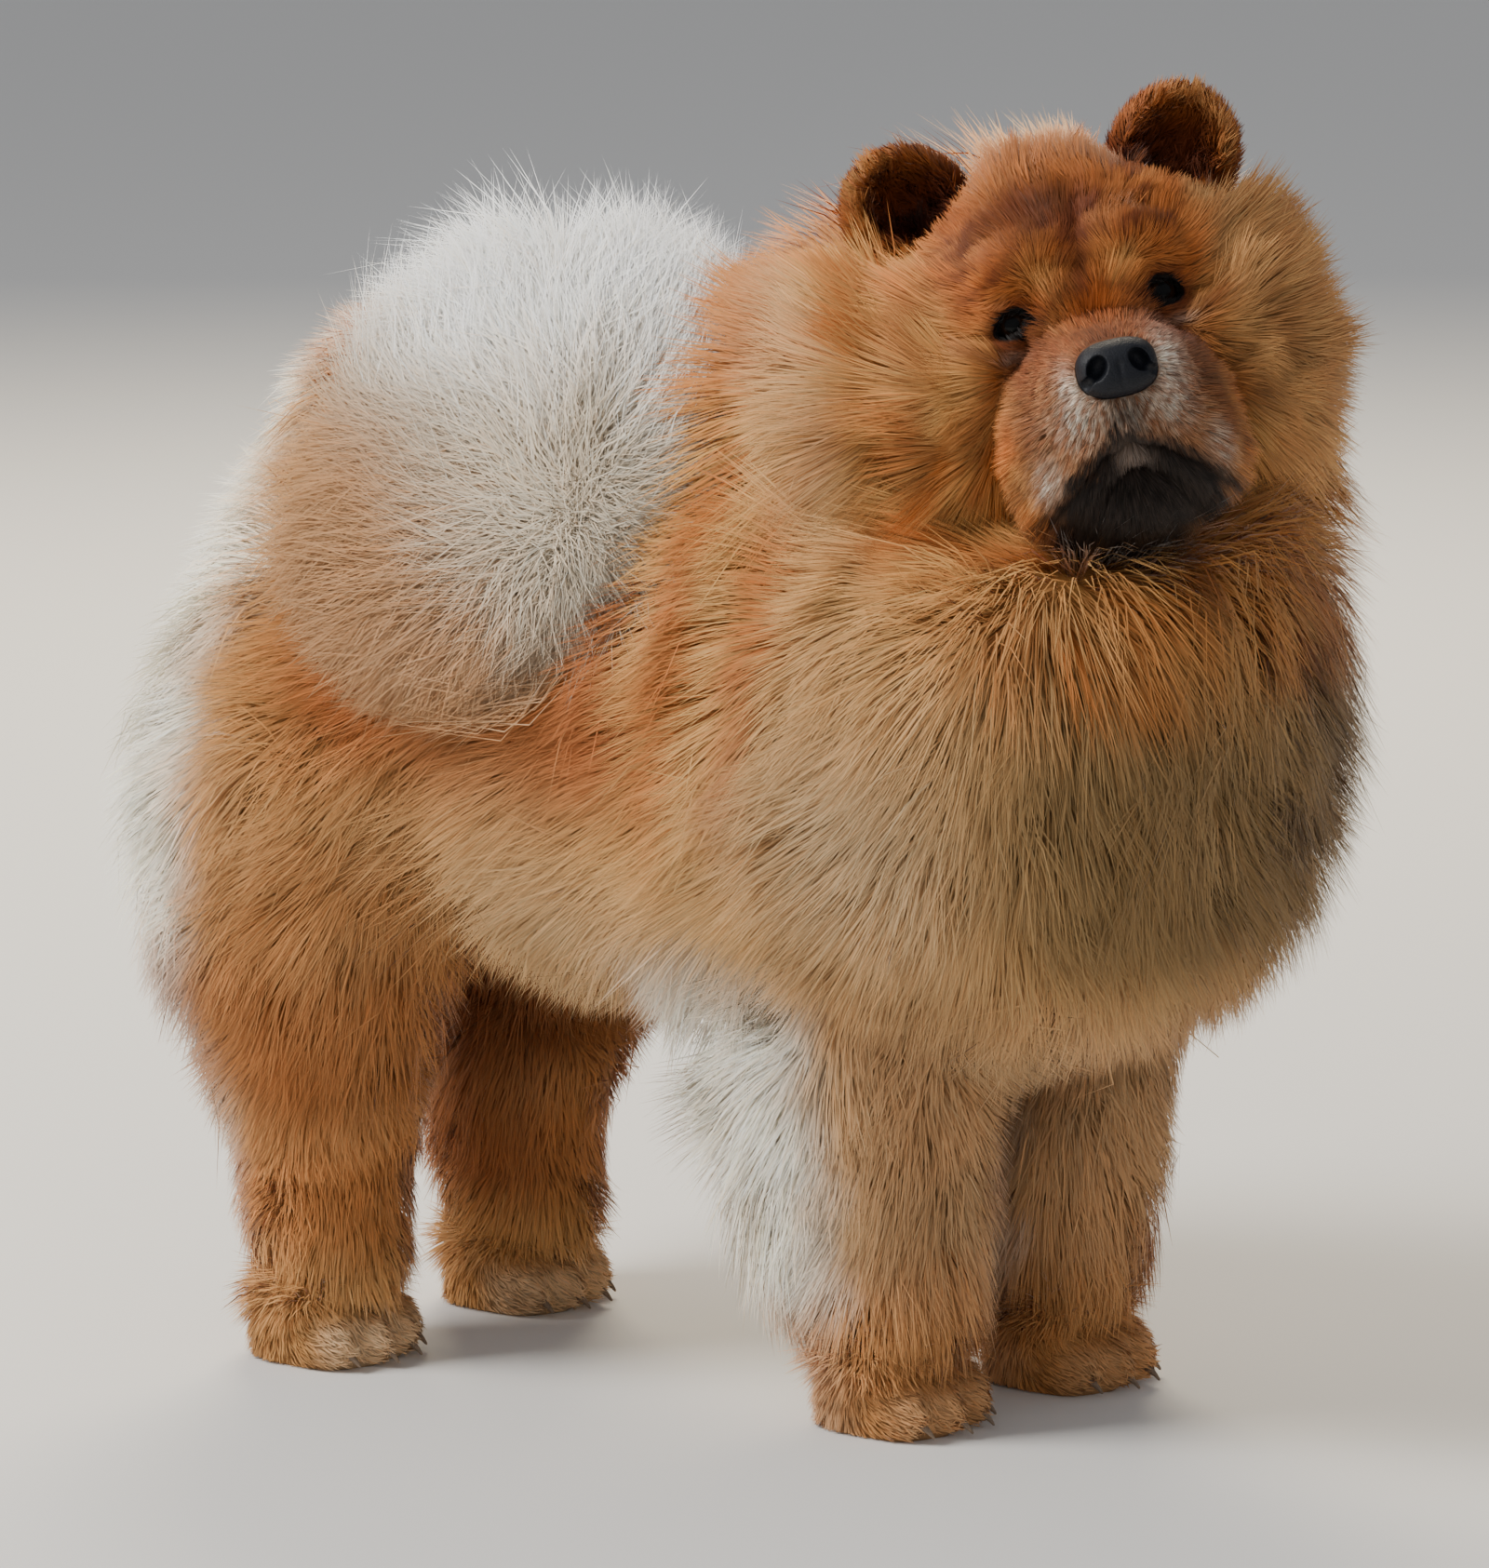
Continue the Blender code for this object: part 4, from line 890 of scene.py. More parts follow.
def body_tint(p):
    """Red and gold, paler on the belly, the breeches and the backs of the forelegs."""
    x, z = p[:, 0], p[:, 2]
    drift = wander(p, 0.17, 11)
    tint = mix(TAN, GOLD, 0.45 + 0.35 * drift)
    flank = rise(0.10, 0.02, x) * rise(-0.24, -0.10, x) * rise(0.29, 0.36, z)
    tint = mix(tint, mix(ORANGE, RED, 0.85), flank * (0.85 + 0.15 * drift))
    stripes = rise(0.03, 0.06, x) * rise(0.150, 0.120, x) * rise(0.28, 0.37, z)
    wave = np.sin((x - 0.10 * z + 0.004 * wander(p, 0.06, 12)) / 0.047 * math.tau + 0.6)
    tint = mix(tint, mix(ORANGE, GOLD, 0.5 + 0.5 * wave), stripes)
    tint = mix(tint, BEIGE, rise(0.32, 0.25, z) * rise(0.13, 0.05, x) * rise(-0.14, -0.05, x) * 0.5)
    tint = mix(tint, BEIGE, spot(np.stack([x, z], -1), (0.18, 0.32), (0.075, 0.065)) * 0.85)
    # the chest darker: partly its dark-tipped hair, partly painted shade
    tint = mix(tint, DULL * 0.92, rise(0.21, 0.30, x) * rise(0.43, 0.37, z) * rise(0.22, 0.27, z) * 0.85)
    collar = rise(0.20, 0.27, x) * rise(0.37, 0.41, z) * rise(0.56, 0.50, z)
    tint = mix(tint, ORANGE, collar * (0.45 + 0.35 * wander(p, 0.05, 13)))
    tint = mix(tint, ORANGE, rise(0.50, 0.56, z) * rise(0.16, 0.09, x) * 0.7)
    tint = mix(tint, FEATHER, rise(-0.185, -0.250, x + 0.012 * wander(p, 0.05, 23)))
    return leg_tint(p, tint)


def leg_tint(p, above):
    """The legs' colours over those of the body above them."""
    x, y, z = p[:, 0], p[:, 1], p[:, 2]
    fore = rise(0.0, 0.03, x)
    middle = np.where(y < 0, FORE_FEET[RIGHT][0], FORE_FEET[LEFT][0])
    patchy = 0.5 + 0.4 * wander(p, 0.09, 14)
    front = mix(mix(mix(TAN, BEIGE, 0.5), ORANGE, 0.32 * patchy), ORANGE, rise(0.12, 0.05, z) * 0.35)
    front = mix(front, FEATHER, rise(0.008, -0.044, x - middle + 0.008 * wander(p, 0.04, 24)))
    breeches = rise(-0.206, -0.256, x + 0.012 * wander(p, 0.05, 23))
    hind = mix(mix(TAN, ORANGE, 0.10 + 0.5 * patchy), FEATHER, breeches)
    hind = mix(hind, mix(DEEP, ORANGE, 0.55), rise(0.25, 0.20, z) * rise(0.12, 0.16, z) * 0.6)
    hind = mix(hind, ORANGE, rise(0.15, 0.09, z) * 0.5)
    # painted shade: darker on the inner sides of the legs, between them
    inner = np.exp(-((y / 0.045) ** 2))
    hind = mix(hind, DEEP, inner * rise(0.30, 0.22, z) * 0.6)
    front = mix(front, DEEP, inner * rise(0.24, 0.18, z) * rise(0.10, 0.14, z) * 0.3)
    leg = front * fore[:, None] + hind * (1 - fore[:, None])
    on_leg = np.maximum(rise(-0.115, -0.080, x - middle), rise(0.275, 0.240, z))
    low = np.where(x > 0, rise(0.27, 0.20, z) * on_leg, rise(0.38, 0.28, z) * rise(-0.06, -0.12, x))
    tint = mix(above, leg, low)
    toes = rise(0.034, 0.020, z) * rise(0.010, 0.034, np.where(x > 0, x - middle, x - HIND_FEET[RIGHT][0]))
    paw = mix(mix(TAN, GOLD, 0.4), ORANGE, 0.12 + 0.28 * fore)
    return mix(mix(tint, paw, rise(0.08, 0.04, z) * 0.8), CREAM, toes * (0.45 - 0.3 * fore))


def plume_tint(p):
    away = p - np.array(PLUME_TIP)
    along = away @ np.array(PLUME_AWAY)
    across = away @ np.array(PLUME_ACROSS)
    far = np.sqrt(along**2 + across**2) + 0.012 * wander(p, 0.05, 15)
    # the upper part out from the tip white: partly its pale hair, partly painted light of a glow from behind
    tint = mix(ASH, WHITE, rise(0.04, 0.13, far) * rise(-0.03, 0.05, across))
    lower = rise(0.02, -0.07, across)
    tint = mix(tint, mix(TAN, ORANGE, 0.35) * 0.82, lower * rise(0.03, 0.12, far) * 0.9)
    return mix(tint, GOLD, spot(p, (-0.20, -0.07, 0.47), (0.05, 0.08, 0.05)) * 0.8)


def ruff_tint(p):
    """The ruff round the face, gold with red streaks, and a pale halo behind it, partly paler hair and
    partly painted rim light, with painted shade on its left side and in the parting under the chin.
    """
    x, y, z = to_head(p).T
    aside = np.abs(y)
    tint = mix(GOLD, ORANGE, 0.35 + 0.45 * wander(p, 0.055, 16))
    # the halo: partly paler hair, partly painted rim light behind the head
    beside = rise(-0.120, -0.150, y) * rise(-0.13, -0.06, z) * rise(0.09, 0.05, x)
    halo = np.maximum(rise(-0.118, -0.150, x) * rise(0.02, 0.06, z), beside)
    tint = mix(tint, HALO, halo * (0.35 + 0.35 * rise(0.0, 0.08, z)))
    # painted shade on the left side of the ruff, low down
    tint = mix(tint, DULL * 0.7, rise(0.105, 0.150, y) * rise(0.04, -0.04, z) * 0.65)
    crown = rise(0.04, 0.07, z) * rise(0.10, 0.07, aside) * rise(-0.140, -0.110, x)
    tint = mix(tint, mix(AMBER, DEEP, 0.45), crown * 0.80)
    # painted shade in the parting of the coat under the chin
    parting = np.exp(-(((y - 0.022 + 0.16 * (z + 0.14)) / 0.007) ** 2)) * rise(0.0, 0.03, x)
    parting *= rise(-0.115, -0.135, z) * rise(-0.225, -0.19, z)
    tint = mix(tint, mix(DEEP, BROWN, 0.5), parting * 0.85)
    throat = rise(-0.142, -0.122, z) * rise(0.036, 0.016, aside) * rise(-0.06, -0.03, x)
    return mix(tint, DARK, throat * 0.9)


def face_tint(p):
    """The face: golden brows and cheeks, a dark patch over them, a grizzled muzzle and black lips, with
    painted shade in the hollows, folds and creases and round the eyes, and painted light on its left side.
    """
    q, x, y, z = head_parts(p)
    left_up = np.stack([y, z], axis=-1)
    whole = q[:, 1:]
    fine = wander(p, 0.028, 17)
    salt = np.clip(0.5 + 0.7 * wander(p, 0.0042, 31), 0, 1)
    tint = mix(mix(RED, ORANGE, 0.7), GOLD, 0.45 + 0.45 * fine)
    brow = rise(-0.012, 0.012, z) * rise(0.085, 0.060, y)
    tint = mix(tint, mix(RED, ORANGE, 0.4), brow * 0.75)
    patch = spot(whole, (-0.012, 0.057), (0.034, 0.018)) * (0.9 + 0.1 * fine)
    tint = mix(tint, mix(DEEP, BROWN, 0.9) * 0.7, patch)
    # painted shade in the hollows of the coat's relief, stronger on the furrowed brow
    hollows = np.clip(-1.5 * relief(p), 0, 1) * (1 - rise(-0.010, -0.025, z) * rise(0.058, 0.044, y))
    furrowed = 0.40 + 0.48 * rise(0.010, 0.030, z) * rise(0.080, 0.060, y)
    tint = mix(tint, mix(DEEP, BROWN, 0.4), hollows * furrowed)
    # painted shade in the deep folds of the cheeks
    folds = spot(whole, (-0.108, -0.057), (0.007, 0.015)) + spot(whole, (0.087, -0.057), (0.006, 0.015))
    tint = mix(tint, mix(DEEP, BROWN, 0.3), np.clip(folds, 0, 1) * 0.7)
    tint = mix(tint, mix(AMBER, DEEP, 0.55), rise(0.058, 0.090, z) * rise(0.080, 0.055, y) * 0.8)
    tint = mix(tint, GOLD, spot(left_up, (0.021, 0.022), (0.010, 0.008)) * 0.55)
    tint = mix(tint, GOLD, spot(left_up, (0.080, -0.030), (0.022, 0.030)) * 0.5)
    # painted light: the face paler on its left side, the side in shade
    tint = mix(tint, TAN, rise(0.058, 0.080, q[:, 1]) * 0.60)
    tint = mix(tint, RED, spot(left_up, (0.058, -0.040), (0.014, 0.030)) * 0.5)
    tint = mix(tint, RED, spot(left_up, (0.0, -0.004), (0.024, 0.014)) * 0.8)
    muzzle = rise(0.000, 0.018, x) * rise(0.058, 0.044, y) * rise(0.006, -0.014, z)
    top = rise(-0.042, -0.018, z)
    velvet = mix(mix(MUZZLE, TAN, 0.10 + 0.28 * salt), mix(mix(MUZZLE, RED, 0.35), TAN, 0.22 * salt), top)
    tint = mix(tint, velvet, muzzle)
    dusky = spot(whole, (-0.004, -0.014), (0.017, 0.009)) * rise(0.030, 0.048, x)
    tint = mix(tint, mix(MUZZLE, DARK, 0.40), dusky * 0.85)
    nose = np.sqrt((y / 1.15) ** 2 + (z - NOSE_AT.z + 0.006) ** 2)
    grizzle = 0.6 * rise(0.056, 0.070, x) * rise(0.032, 0.022, nose) * rise(-0.030, -0.042, z)
    grizzle = np.maximum(grizzle, spot(left_up, (0.024, -0.056), (0.012, 0.013)))
    grizzle = np.maximum(grizzle, 0.9 * spot(left_up, (0.045, -0.082), (0.009, 0.012)))
    tint = mix(tint, GREY, grizzle * (0.15 + 0.85 * salt) * muzzle)
    bright = spot(whole, (0.0265, -0.036), (0.008, 0.015))
    bright += 0.6 * spot(whole, (-0.025, -0.040), (0.005, 0.012))
    tint = mix(tint, mix(CREAM, WHITE, 0.5), np.clip(bright, 0, 1) * (0.4 + 0.6 * salt) * muzzle)
    under = spot(whole, (0.0, -0.057), (0.012, 0.010)) * muzzle
    tint = mix(tint, mix(DARK, GREY, 0.25 * salt), under * 0.85)
    mouth = np.interp(y, *LIP)
    front = rise(-0.045, -0.02, x) * rise(0.052, 0.037, y + 0.006 * wander(p, 0.009, 27))
    black = rise(0.008, -0.003, z - mouth + 0.006 * wander(p, 0.011, 19) + 0.004 * wander(p, 0.0045, 26))
    tint = mix(tint, mix(DARK, mix(BROWN, GREY, 0.3), 0.12 * salt), front * black)
    lips = np.exp(-((near_line(q[:, 1:] + [0, 0.002], mouth_curve()) / 0.0042) ** 2)) * rise(-0.02, 0.0, x)
    tint = mix(tint, DARK, lips * 0.9)
    chin = spot(whole, (-0.001, -0.078), (0.011, 0.0065)) * rise(0.05, 0.06, x)
    tint = mix(tint, mix(BROWN, GREY, 0.35), chin * 0.85)
    # painted shade in the creases
    tint = mix(tint, mix(DEEP, DARK, 0.3), crease_at(q)[1])
    # painted shade round the deep-set eyes
    eye = np.sqrt((y - EYE_APART / 2) ** 2 + (z * 1.2) ** 2 + (x - EYE_RADIUS) ** 2)
    tint = mix(tint, DEEP, rise(0.023, 0.014, eye) * 0.75)
    under_eye = spot(left_up, (0.046, -0.016), (0.008, 0.003)) * rise(-0.02, 0.0, x)
    tint = mix(tint, mix(GREY, MUZZLE, 0.5), under_eye * 0.6)
    return mix(tint, DARK * 0.7, rise(0.0145, 0.0125, eye))


def ear_tint(p):
    q = to_head(p)
    q[:, 1] = np.abs(q[:, 1])
    hollow = np.array([EAR_AT.x + 0.016, EAR_AT.y - 0.006, EAR_AT.z - 0.004])
    inside = spot(q, hollow, (0.013, 0.016, 0.017))
    rim = rise(EAR_AT.z + 0.010, EAR_AT.z + 0.030, q[:, 2]) + rise(0.080, 0.095, q[:, 1])
    edge = np.clip(rim, 0, 1) * (0.8 + 0.2 * wander(p, 0.02, 20))
    tint = mix(mix(BROWN, DEEP, 0.9), mix(DEEP, ORANGE, 0.6), edge)
    # the hollow darker: partly its dark hair, partly painted shade in the hollow
    return mix(tint, mix(DARK, DEEP, 0.70), np.clip(inside * 1.1, 0, 1))


def near_ear(p):
    """Near 1 on the ears."""
    q = to_head(p)
    q[:, 1] = np.abs(q[:, 1])
    away = (q - np.array(EAR_AT)) / np.array(EAR_REACH)
    return rise(1.25, 0.95, np.sqrt((away**2).sum(axis=-1)))


def in_face(p):
    """Near 1 on the front of the head, out to the cheeks and up to the crown."""
    _, x, y, z = head_parts(p)
    return rise(-0.075, -0.045, x) * rise(0.140, 0.118, y) * rise(-0.124, -0.112, z) * (z < 0.14)


RUFF_MIDDLE = (-0.02, 0.0, -0.03)
RUFF_REACH = (0.125, 0.165, 0.150)


def near_ruff(p):
    """Near 1 where the coat belongs to the ruff."""
    q = to_head(p)
    away = (q - np.array(RUFF_MIDDLE)) / np.array(RUFF_REACH)
    return rise(1.25, 0.85, np.sqrt((away**2).sum(axis=-1)))


def coat_tint(p):
    """The colour at each place, blended from part to part."""
    tint = mix(body_tint(p), ruff_tint(p), near_ruff(p))
    tint = mix(tint, face_tint(p), in_face(p))
    return mix(tint, ear_tint(p), near_ear(p))


# Materials


class Shading:
    """A material, its main shader and the nodes that feed it."""

    def __init__(self, name):
        self.material = bpy.data.materials.new(name)
        self.material.use_nodes = True
        self.tree = self.material.node_tree
        self.shader = self.tree.nodes["Principled BSDF"]

    def node(self, kind):
        return self.tree.nodes.new("ShaderNode" + kind)

    def put(self, node, inputs):
        """Sets each input to a value, or links it to another node's output."""
        for name, value in inputs.items():
            if isinstance(value, bpy.types.NodeSocket):
                self.tree.links.new(value, node.inputs[name])
            else:
                node.inputs[name].default_value = value

    def add(self, kind, inputs):
        node = self.node(kind)
        self.put(node, inputs)
        return node

    def place(self):
        return self.node("TexCoord").outputs["Object"]

    def wear(self, pattern, roughness, strength, height):
        """Roughness and height that follow one pattern. Returns the bump."""
        low, high = roughness
        rough = self.add("MapRange", {"Value": pattern, "To Min": low, "To Max": high})
        bump = self.add("Bump", {"Height": pattern, "Strength": strength, "Distance": height})
        self.put(self.shader, {"Roughness": rough.outputs["Result"], "Normal": bump.outputs["Normal"]})
        return bump


def coat_material(name, roughness=0.62, sheen=0.22, grain=900.0):
    """Coat or skin, coloured by the markings with painted shade and painted light baked in, with a fine
    grain in colour, roughness and height.
    """
    made = Shading(name)
    made.put(made.shader, {"Sheen Weight": sheen, "Sheen Roughness": 0.45, "Specular IOR Level": 0.22})
    tint = made.node("Attribute")
    tint.attribute_name = "tint"
    noise = made.add("TexNoise", {"Vector": made.place(), "Scale": grain, "Detail": 3.0}).outputs["Fac"]
    shade = made.add("MapRange", {"Value": noise, "To Min": 0.86, "To Max": 1.12})
    scaled = made.node("VectorMath")
    scaled.operation = "SCALE"
    made.put(scaled, {0: tint.outputs["Color"], "Scale": shade.outputs["Result"]})
    made.put(made.shader, {"Base Color": scaled.outputs["Vector"]})
    made.wear(noise, (roughness - 0.1, roughness + 0.12), 0.15, 0.0004)
    return made.material


def bumpy_material(name, colour, lighter, roughness, scale, height, coat=0.0, pattern="TexVoronoi"):
    """A surface of small cells or grain: nose leather, claws."""
    made = Shading(name)
    made.put(made.shader, {"Specular IOR Level": 0.32, "Coat Weight": coat, "Coat Roughness": 0.25})
    cells = made.add(pattern, {"Vector": made.place(), "Scale": scale}).outputs[0]
    blend = made.node("Mix")
    blend.data_type = "RGBA"
    made.put(blend, {"A": (*lighter, 1), "B": (*colour, 1), "Factor": cells})
    made.put(made.shader, {"Base Color": blend.outputs["Result"]})
    made.wear(cells, (roughness - 0.08, roughness + 0.12), 0.6, height).invert = True
    return made.material


def eye_material(centre, ahead):
    """A dark iris round a black pupil, under a wet clear coat, by the distance from the eye's axis."""
    made = Shading("eye")
    made.put(made.shader, {"Roughness": 0.25, "Specular IOR Level": 0.05})
    made.put(made.shader, {"Coat Weight": 0.22, "Coat Roughness": 0.05})
    place = made.place()
    away = made.node("VectorMath")
    away.operation = "DISTANCE"
    made.put(away, {0: place, 1: centre + ahead * EYE_RADIUS})
    ring = made.add("MapRange", {"Value": away.outputs["Value"], "From Max": EYE_RADIUS})
    noise = made.add("TexNoise", {"Vector": place, "Scale": 700.0})
    jitter = made.node("Math")
    jitter.operation = "MULTIPLY_ADD"
    made.put(jitter, {0: noise.outputs["Fac"], 1: 0.08, 2: ring.outputs["Result"]})
    ramp = made.add("ValToRGB", {"Fac": jitter.outputs["Value"]})
    stops = (
        (0.0, (0.002, 0.002, 0.002)),
        (0.36, (0.002, 0.002, 0.002)),
        (0.46, (0.022, 0.009, 0.004)),
        (0.70, (0.018, 0.008, 0.004)),
        (0.80, (0.004, 0.003, 0.003)),
        (1.0, (0.010, 0.008, 0.007)),
    )
    while len(ramp.color_ramp.elements) < len(stops):
        ramp.color_ramp.elements.new(0.5)
    for element, (stop, colour) in zip(ramp.color_ramp.elements, stops):
        element.position = stop
        element.color = (*colour, 1)
    made.put(made.shader, {"Base Color": ramp.outputs["Color"]})
    return made.material


# The coat


class Surface:
    """A mesh to grow from or up to."""

    def __init__(self, obj):
        mesh = obj.data
        mesh.calc_loop_triangles()
        corners = np.empty(len(mesh.loop_triangles) * 3, np.int32)
        mesh.loop_triangles.foreach_get("vertices", corners)
        self.corners = corners.reshape(-1, 3)
        self.points = places(obj)
        self.normals = normals_of(obj).astype(float)
        self.tree = BVHTree.FromPolygons(self.points.tolist(), self.corners.tolist())

    def sample(self, count, weight, rng):
        """Points and normals spread over the surface by area times a weight."""
        tri = self.points[self.corners]
        area = np.linalg.norm(np.cross(tri[:, 1] - tri[:, 0], tri[:, 2] - tri[:, 0]), axis=1)
        chance = area * weight(tri.mean(axis=1))
        picked = rng.choice(len(tri), count, p=chance / chance.sum())
        a, b = rng.uniform(0, 1, (2, count, 1))
        flip = a + b > 1
        a, b = np.where(flip, 1 - a, a), np.where(flip, 1 - b, b)
        t = tri[picked]
        n = self.normals[self.corners[picked]]
        points = t[:, 0] + (t[:, 1] - t[:, 0]) * a + (t[:, 2] - t[:, 0]) * b
        return points, unit(n[:, 0] * (1 - a - b) + n[:, 1] * a + n[:, 2] * b)

    def reach(self, starts, ways, far, none):
        """The distance to the surface along each way, or none where it isn't met before far."""
        cast = self.tree.ray_cast
        hits = (cast(start, way, far)[3] for start, way in zip(starts.tolist(), ways.tolist()))
        return np.array([none if hit is None else hit for hit in hits])


# A tuft has a pair of points at its root, a pair half way along and one at its tip
SHARES = np.array([0.0, 0.5, 1.0])
TAPER = np.array([0.85, 1.0])
TUFT_FACES = np.array([(0, 3, 1), (0, 2, 3), (2, 4, 3)])
TUFT_MAP = np.array([(0, 0), (1, 0), (0, 0.5), (1, 0.5), (0.5, 1)])
MOST_TRIANGLES = 190000
PROUD = 0.008  # how far past the solids' box a tip may reach


class Tufts:
    """Flat tapered tufts that bend, one row of each array for each tuft."""

    def __init__(self, points, normals, tint_at=None):
        self.points = points
        self.normals = normals
        self.clump = np.arange(len(points))
        self.tint_at = tint_at or coat_tint

    def gather(self, every, pull, rng):
        """Draws the tips towards those of the nearest of a few of the tufts."""
        roots = self.points[:, 0]
        seeds = rng.choice(len(roots), max(1, len(roots) // every), replace=False)
        tree = KDTree(len(seeds))
        for k, place in enumerate(roots[seeds].tolist()):
            tree.insert(place, k)
        tree.balance()
        self.clump = seeds[np.array([tree.find(place)[1] for place in roots.tolist()])]
        s = SHARES[None, :, None] ** 1.5
        self.points = self.points + pull * s * (self.points[self.clump] - self.points)

    def keep(self, kept):
        self.points, self.normals, self.clump = self.points[kept], self.normals[kept], self.clump[kept]

    def colours(self, rng, root, tip, spread, bundle):
        """Painted shade near the skin and painted light at the end, redder near the skin, each tuft and
        clump its own.
        """
        tint = self.tint_at(self.points[:, 0] * 0.3 + self.points[:, -1] * 0.7)
        own = 1 + spread * rng.normal(size=len(tint))
        own *= 1 + bundle * rng.normal(size=self.clump.max() + 1)[self.clump]
        # painted shade in the hollows of the coat's relief, painted light on its lumps
        own *= 1 + 0.10 * relief(self.points[:, 0])
        warm = 1 + 0.04 * rng.normal(size=(len(tint), 1)) * np.array([1.0, 0.0, -1.0])
        # darker at the root, painted shade of the coat's depth; paler at the tip, painted light of a glow at
        # the ends
        run = (root + (tip - root) * rise(0.0, 0.9, SHARES))[None, :, None]
        redder = 1 + (1 - SHARES)[None, :, None] * np.array([0.06, -0.02, -0.10])
        return tint[:, None] * own[:, None, None] * warm[:, None] * run * redder

    def emit(self, name, material, width, unwrap, rng, root=0.70, tip=1.08, spread=0.06, bundle=0.04):
        """Meshes of the tufts, each under the limit of triangles."""
        low, high = (np.array(corner) - np.array(SHIFT) for corner in CAD_BOX)
        low[2] += 0.001 + PROUD
        self.points = np.clip(self.points, low - PROUD, high + PROUD)
        # root and tip are the shares of painted shade at the roots and painted light at the tips
        colours = self.colours(rng, root, tip, spread, bundle)
        count = len(self.points)
        triangles = count * len(TUFT_FACES)
        way = unit(self.points[:, -1] - self.points[:, 0])
        side = unit(np.cross(self.normals, way))
        twist = rng.normal(0, 0.45, count)[:, None]
        side = side * np.cos(twist) + np.cross(way, side) * np.sin(twist)
        widths = (width * rng.uniform(0.7, 1.3, count))[:, None] * TAPER
        batches = max(1, math.ceil(triangles / MOST_TRIANGLES))
        order = np.argsort(unwrap[:, 1], kind="stable")
        for number, batch in enumerate(np.array_split(order, batches)):
            label = f"{name}_{number + 1}" if batches > 1 else name
            shading = unit(self.normals[batch] * 0.8 + 0.32 * unit(np.cross(way[batch], side[batch])))
            strips(label, self.points[batch], side[batch][:, None], widths[batch], colours[batch],
                   unwrap[batch], shading, material)
        print(name, count, "tufts", triangles, "triangles")


def bent(roots, start, end, length):
    """Points from root to tip of tufts that start one way and end another."""
    s = SHARES[None, :, None]
    return roots[:, None] + length[:, None, None] * (start[:, None] * s + (end - start)[:, None] * s * s / 2)


def raised(flow, normals, lift):
    """The way of a tuft that is lifted off the lie of the fur by an angle."""
    return flow * np.cos(lift) + normals * np.sin(lift)


def strips(name, points, sides, widths, tints, unwrap, shading, material):
    """A mesh of flat tapered tufts. The rows of points run from root to tip."""
    count, rings, size = len(points), len(TAPER), len(TUFT_MAP)
    half = sides * widths[..., None] / 2
    pairs = np.stack([points[:, :rings] - half, points[:, :rings] + half], axis=2)
    verts = np.concatenate([pairs.reshape(count, rings * 2, 3), points[:, rings:]], axis=1)
    faces = (np.arange(count)[:, None, None] * size + TUFT_FACES).reshape(-1, 3)
    colours = np.concatenate([np.repeat(tints[:, :rings], 2, axis=1), tints[:, rings:]], axis=1)

    mesh = bpy.data.meshes.new(name)
    mesh.vertices.add(count * size)
    mesh.vertices.foreach_set("co", (verts + np.array(SHIFT)).astype(np.float32).ravel())
    mesh.loops.add(len(faces) * 3)
    mesh.loops.foreach_set("vertex_index", faces.astype(np.int32).ravel())
    mesh.polygons.add(len(faces))
    mesh.polygons.foreach_set("loop_start", np.arange(len(faces), dtype=np.int32) * 3)
    mesh.polygons.foreach_set("use_smooth", np.ones(len(faces), bool))
    mesh.update(calc_edges=True)
    paint(mesh, colours.reshape(-1, 3))
    on_map = unwrap[:, None, :] * 0.98 + 0.01 + (TUFT_MAP[None] - 0.5) * 0.003
    layer = mesh.uv_layers.new(name="OFBake")
    layer.uv.foreach_set("vector", on_map.reshape(-1, 2)[faces.ravel()].astype(np.float32).ravel())
    mesh.normals_split_custom_set_from_vertices(np.repeat(shading, size, axis=0).astype(np.float32))
    obj = bpy.data.objects.new(name, mesh)
    bpy.context.scene.collection.objects.link(obj)
    mesh.materials.append(material)
    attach(obj, "root")


def paint(mesh, colours):
    layer = mesh.color_attributes.new("tint", "FLOAT_COLOR", "POINT")
    full = np.concatenate([np.clip(colours, 0, 1), np.ones((len(colours), 1))], axis=1)
    layer.data.foreach_set("color", full.astype(np.float32).ravel())


def swirl(points, size, seed):
    """A smooth random vector that changes over the size."""
    return np.stack([wander(points, size, seed + k) for k in range(3)], axis=1)


def flatten(ways, normals):
    """The part of each way that lies in the skin."""
    return ways - normals * (ways * normals).sum(axis=1, keepdims=True)


# Places in the head's own frame that the coat of the neck and the fur of the face lie away from
FACE_MIDDLE = (0.06, 0.0, -0.03)
FACE_PARTING = (0.090, 0.0, -0.028)


def lie_of(p):
    """The way the coat lies: back over the body, down the chest and legs, away from the face."""
    x, z = p[:, 0], p[:, 2]
    out = p - from_head(np.array([FACE_MIDDLE]))
    q = to_head(p)
    below = rise(-0.085, -0.135, q[:, 2]) * rise(0.15, 0.07, np.abs(q[:, 1]))
    near = (rise(0.36, 0.16, np.linalg.norm(out, axis=1)) * (1 - 0.9 * below))[:, None]
    lie = mix(np.array([-0.80, 0.0, -0.60]), np.array([-0.12, 0.0, -1.0]), rise(0.32, 0.20, z))
    lie = mix(lie, np.array([-0.1, 0.0, -1.0]), rise(0.18, 0.28, x))
    lie = mix(lie, np.array([-0.2, 0.0, -1.0]), rise(-0.16, -0.25, x))
    return unit(lie + near * 1.6 * (unit(out) + np.array([0, 0, -0.25])))


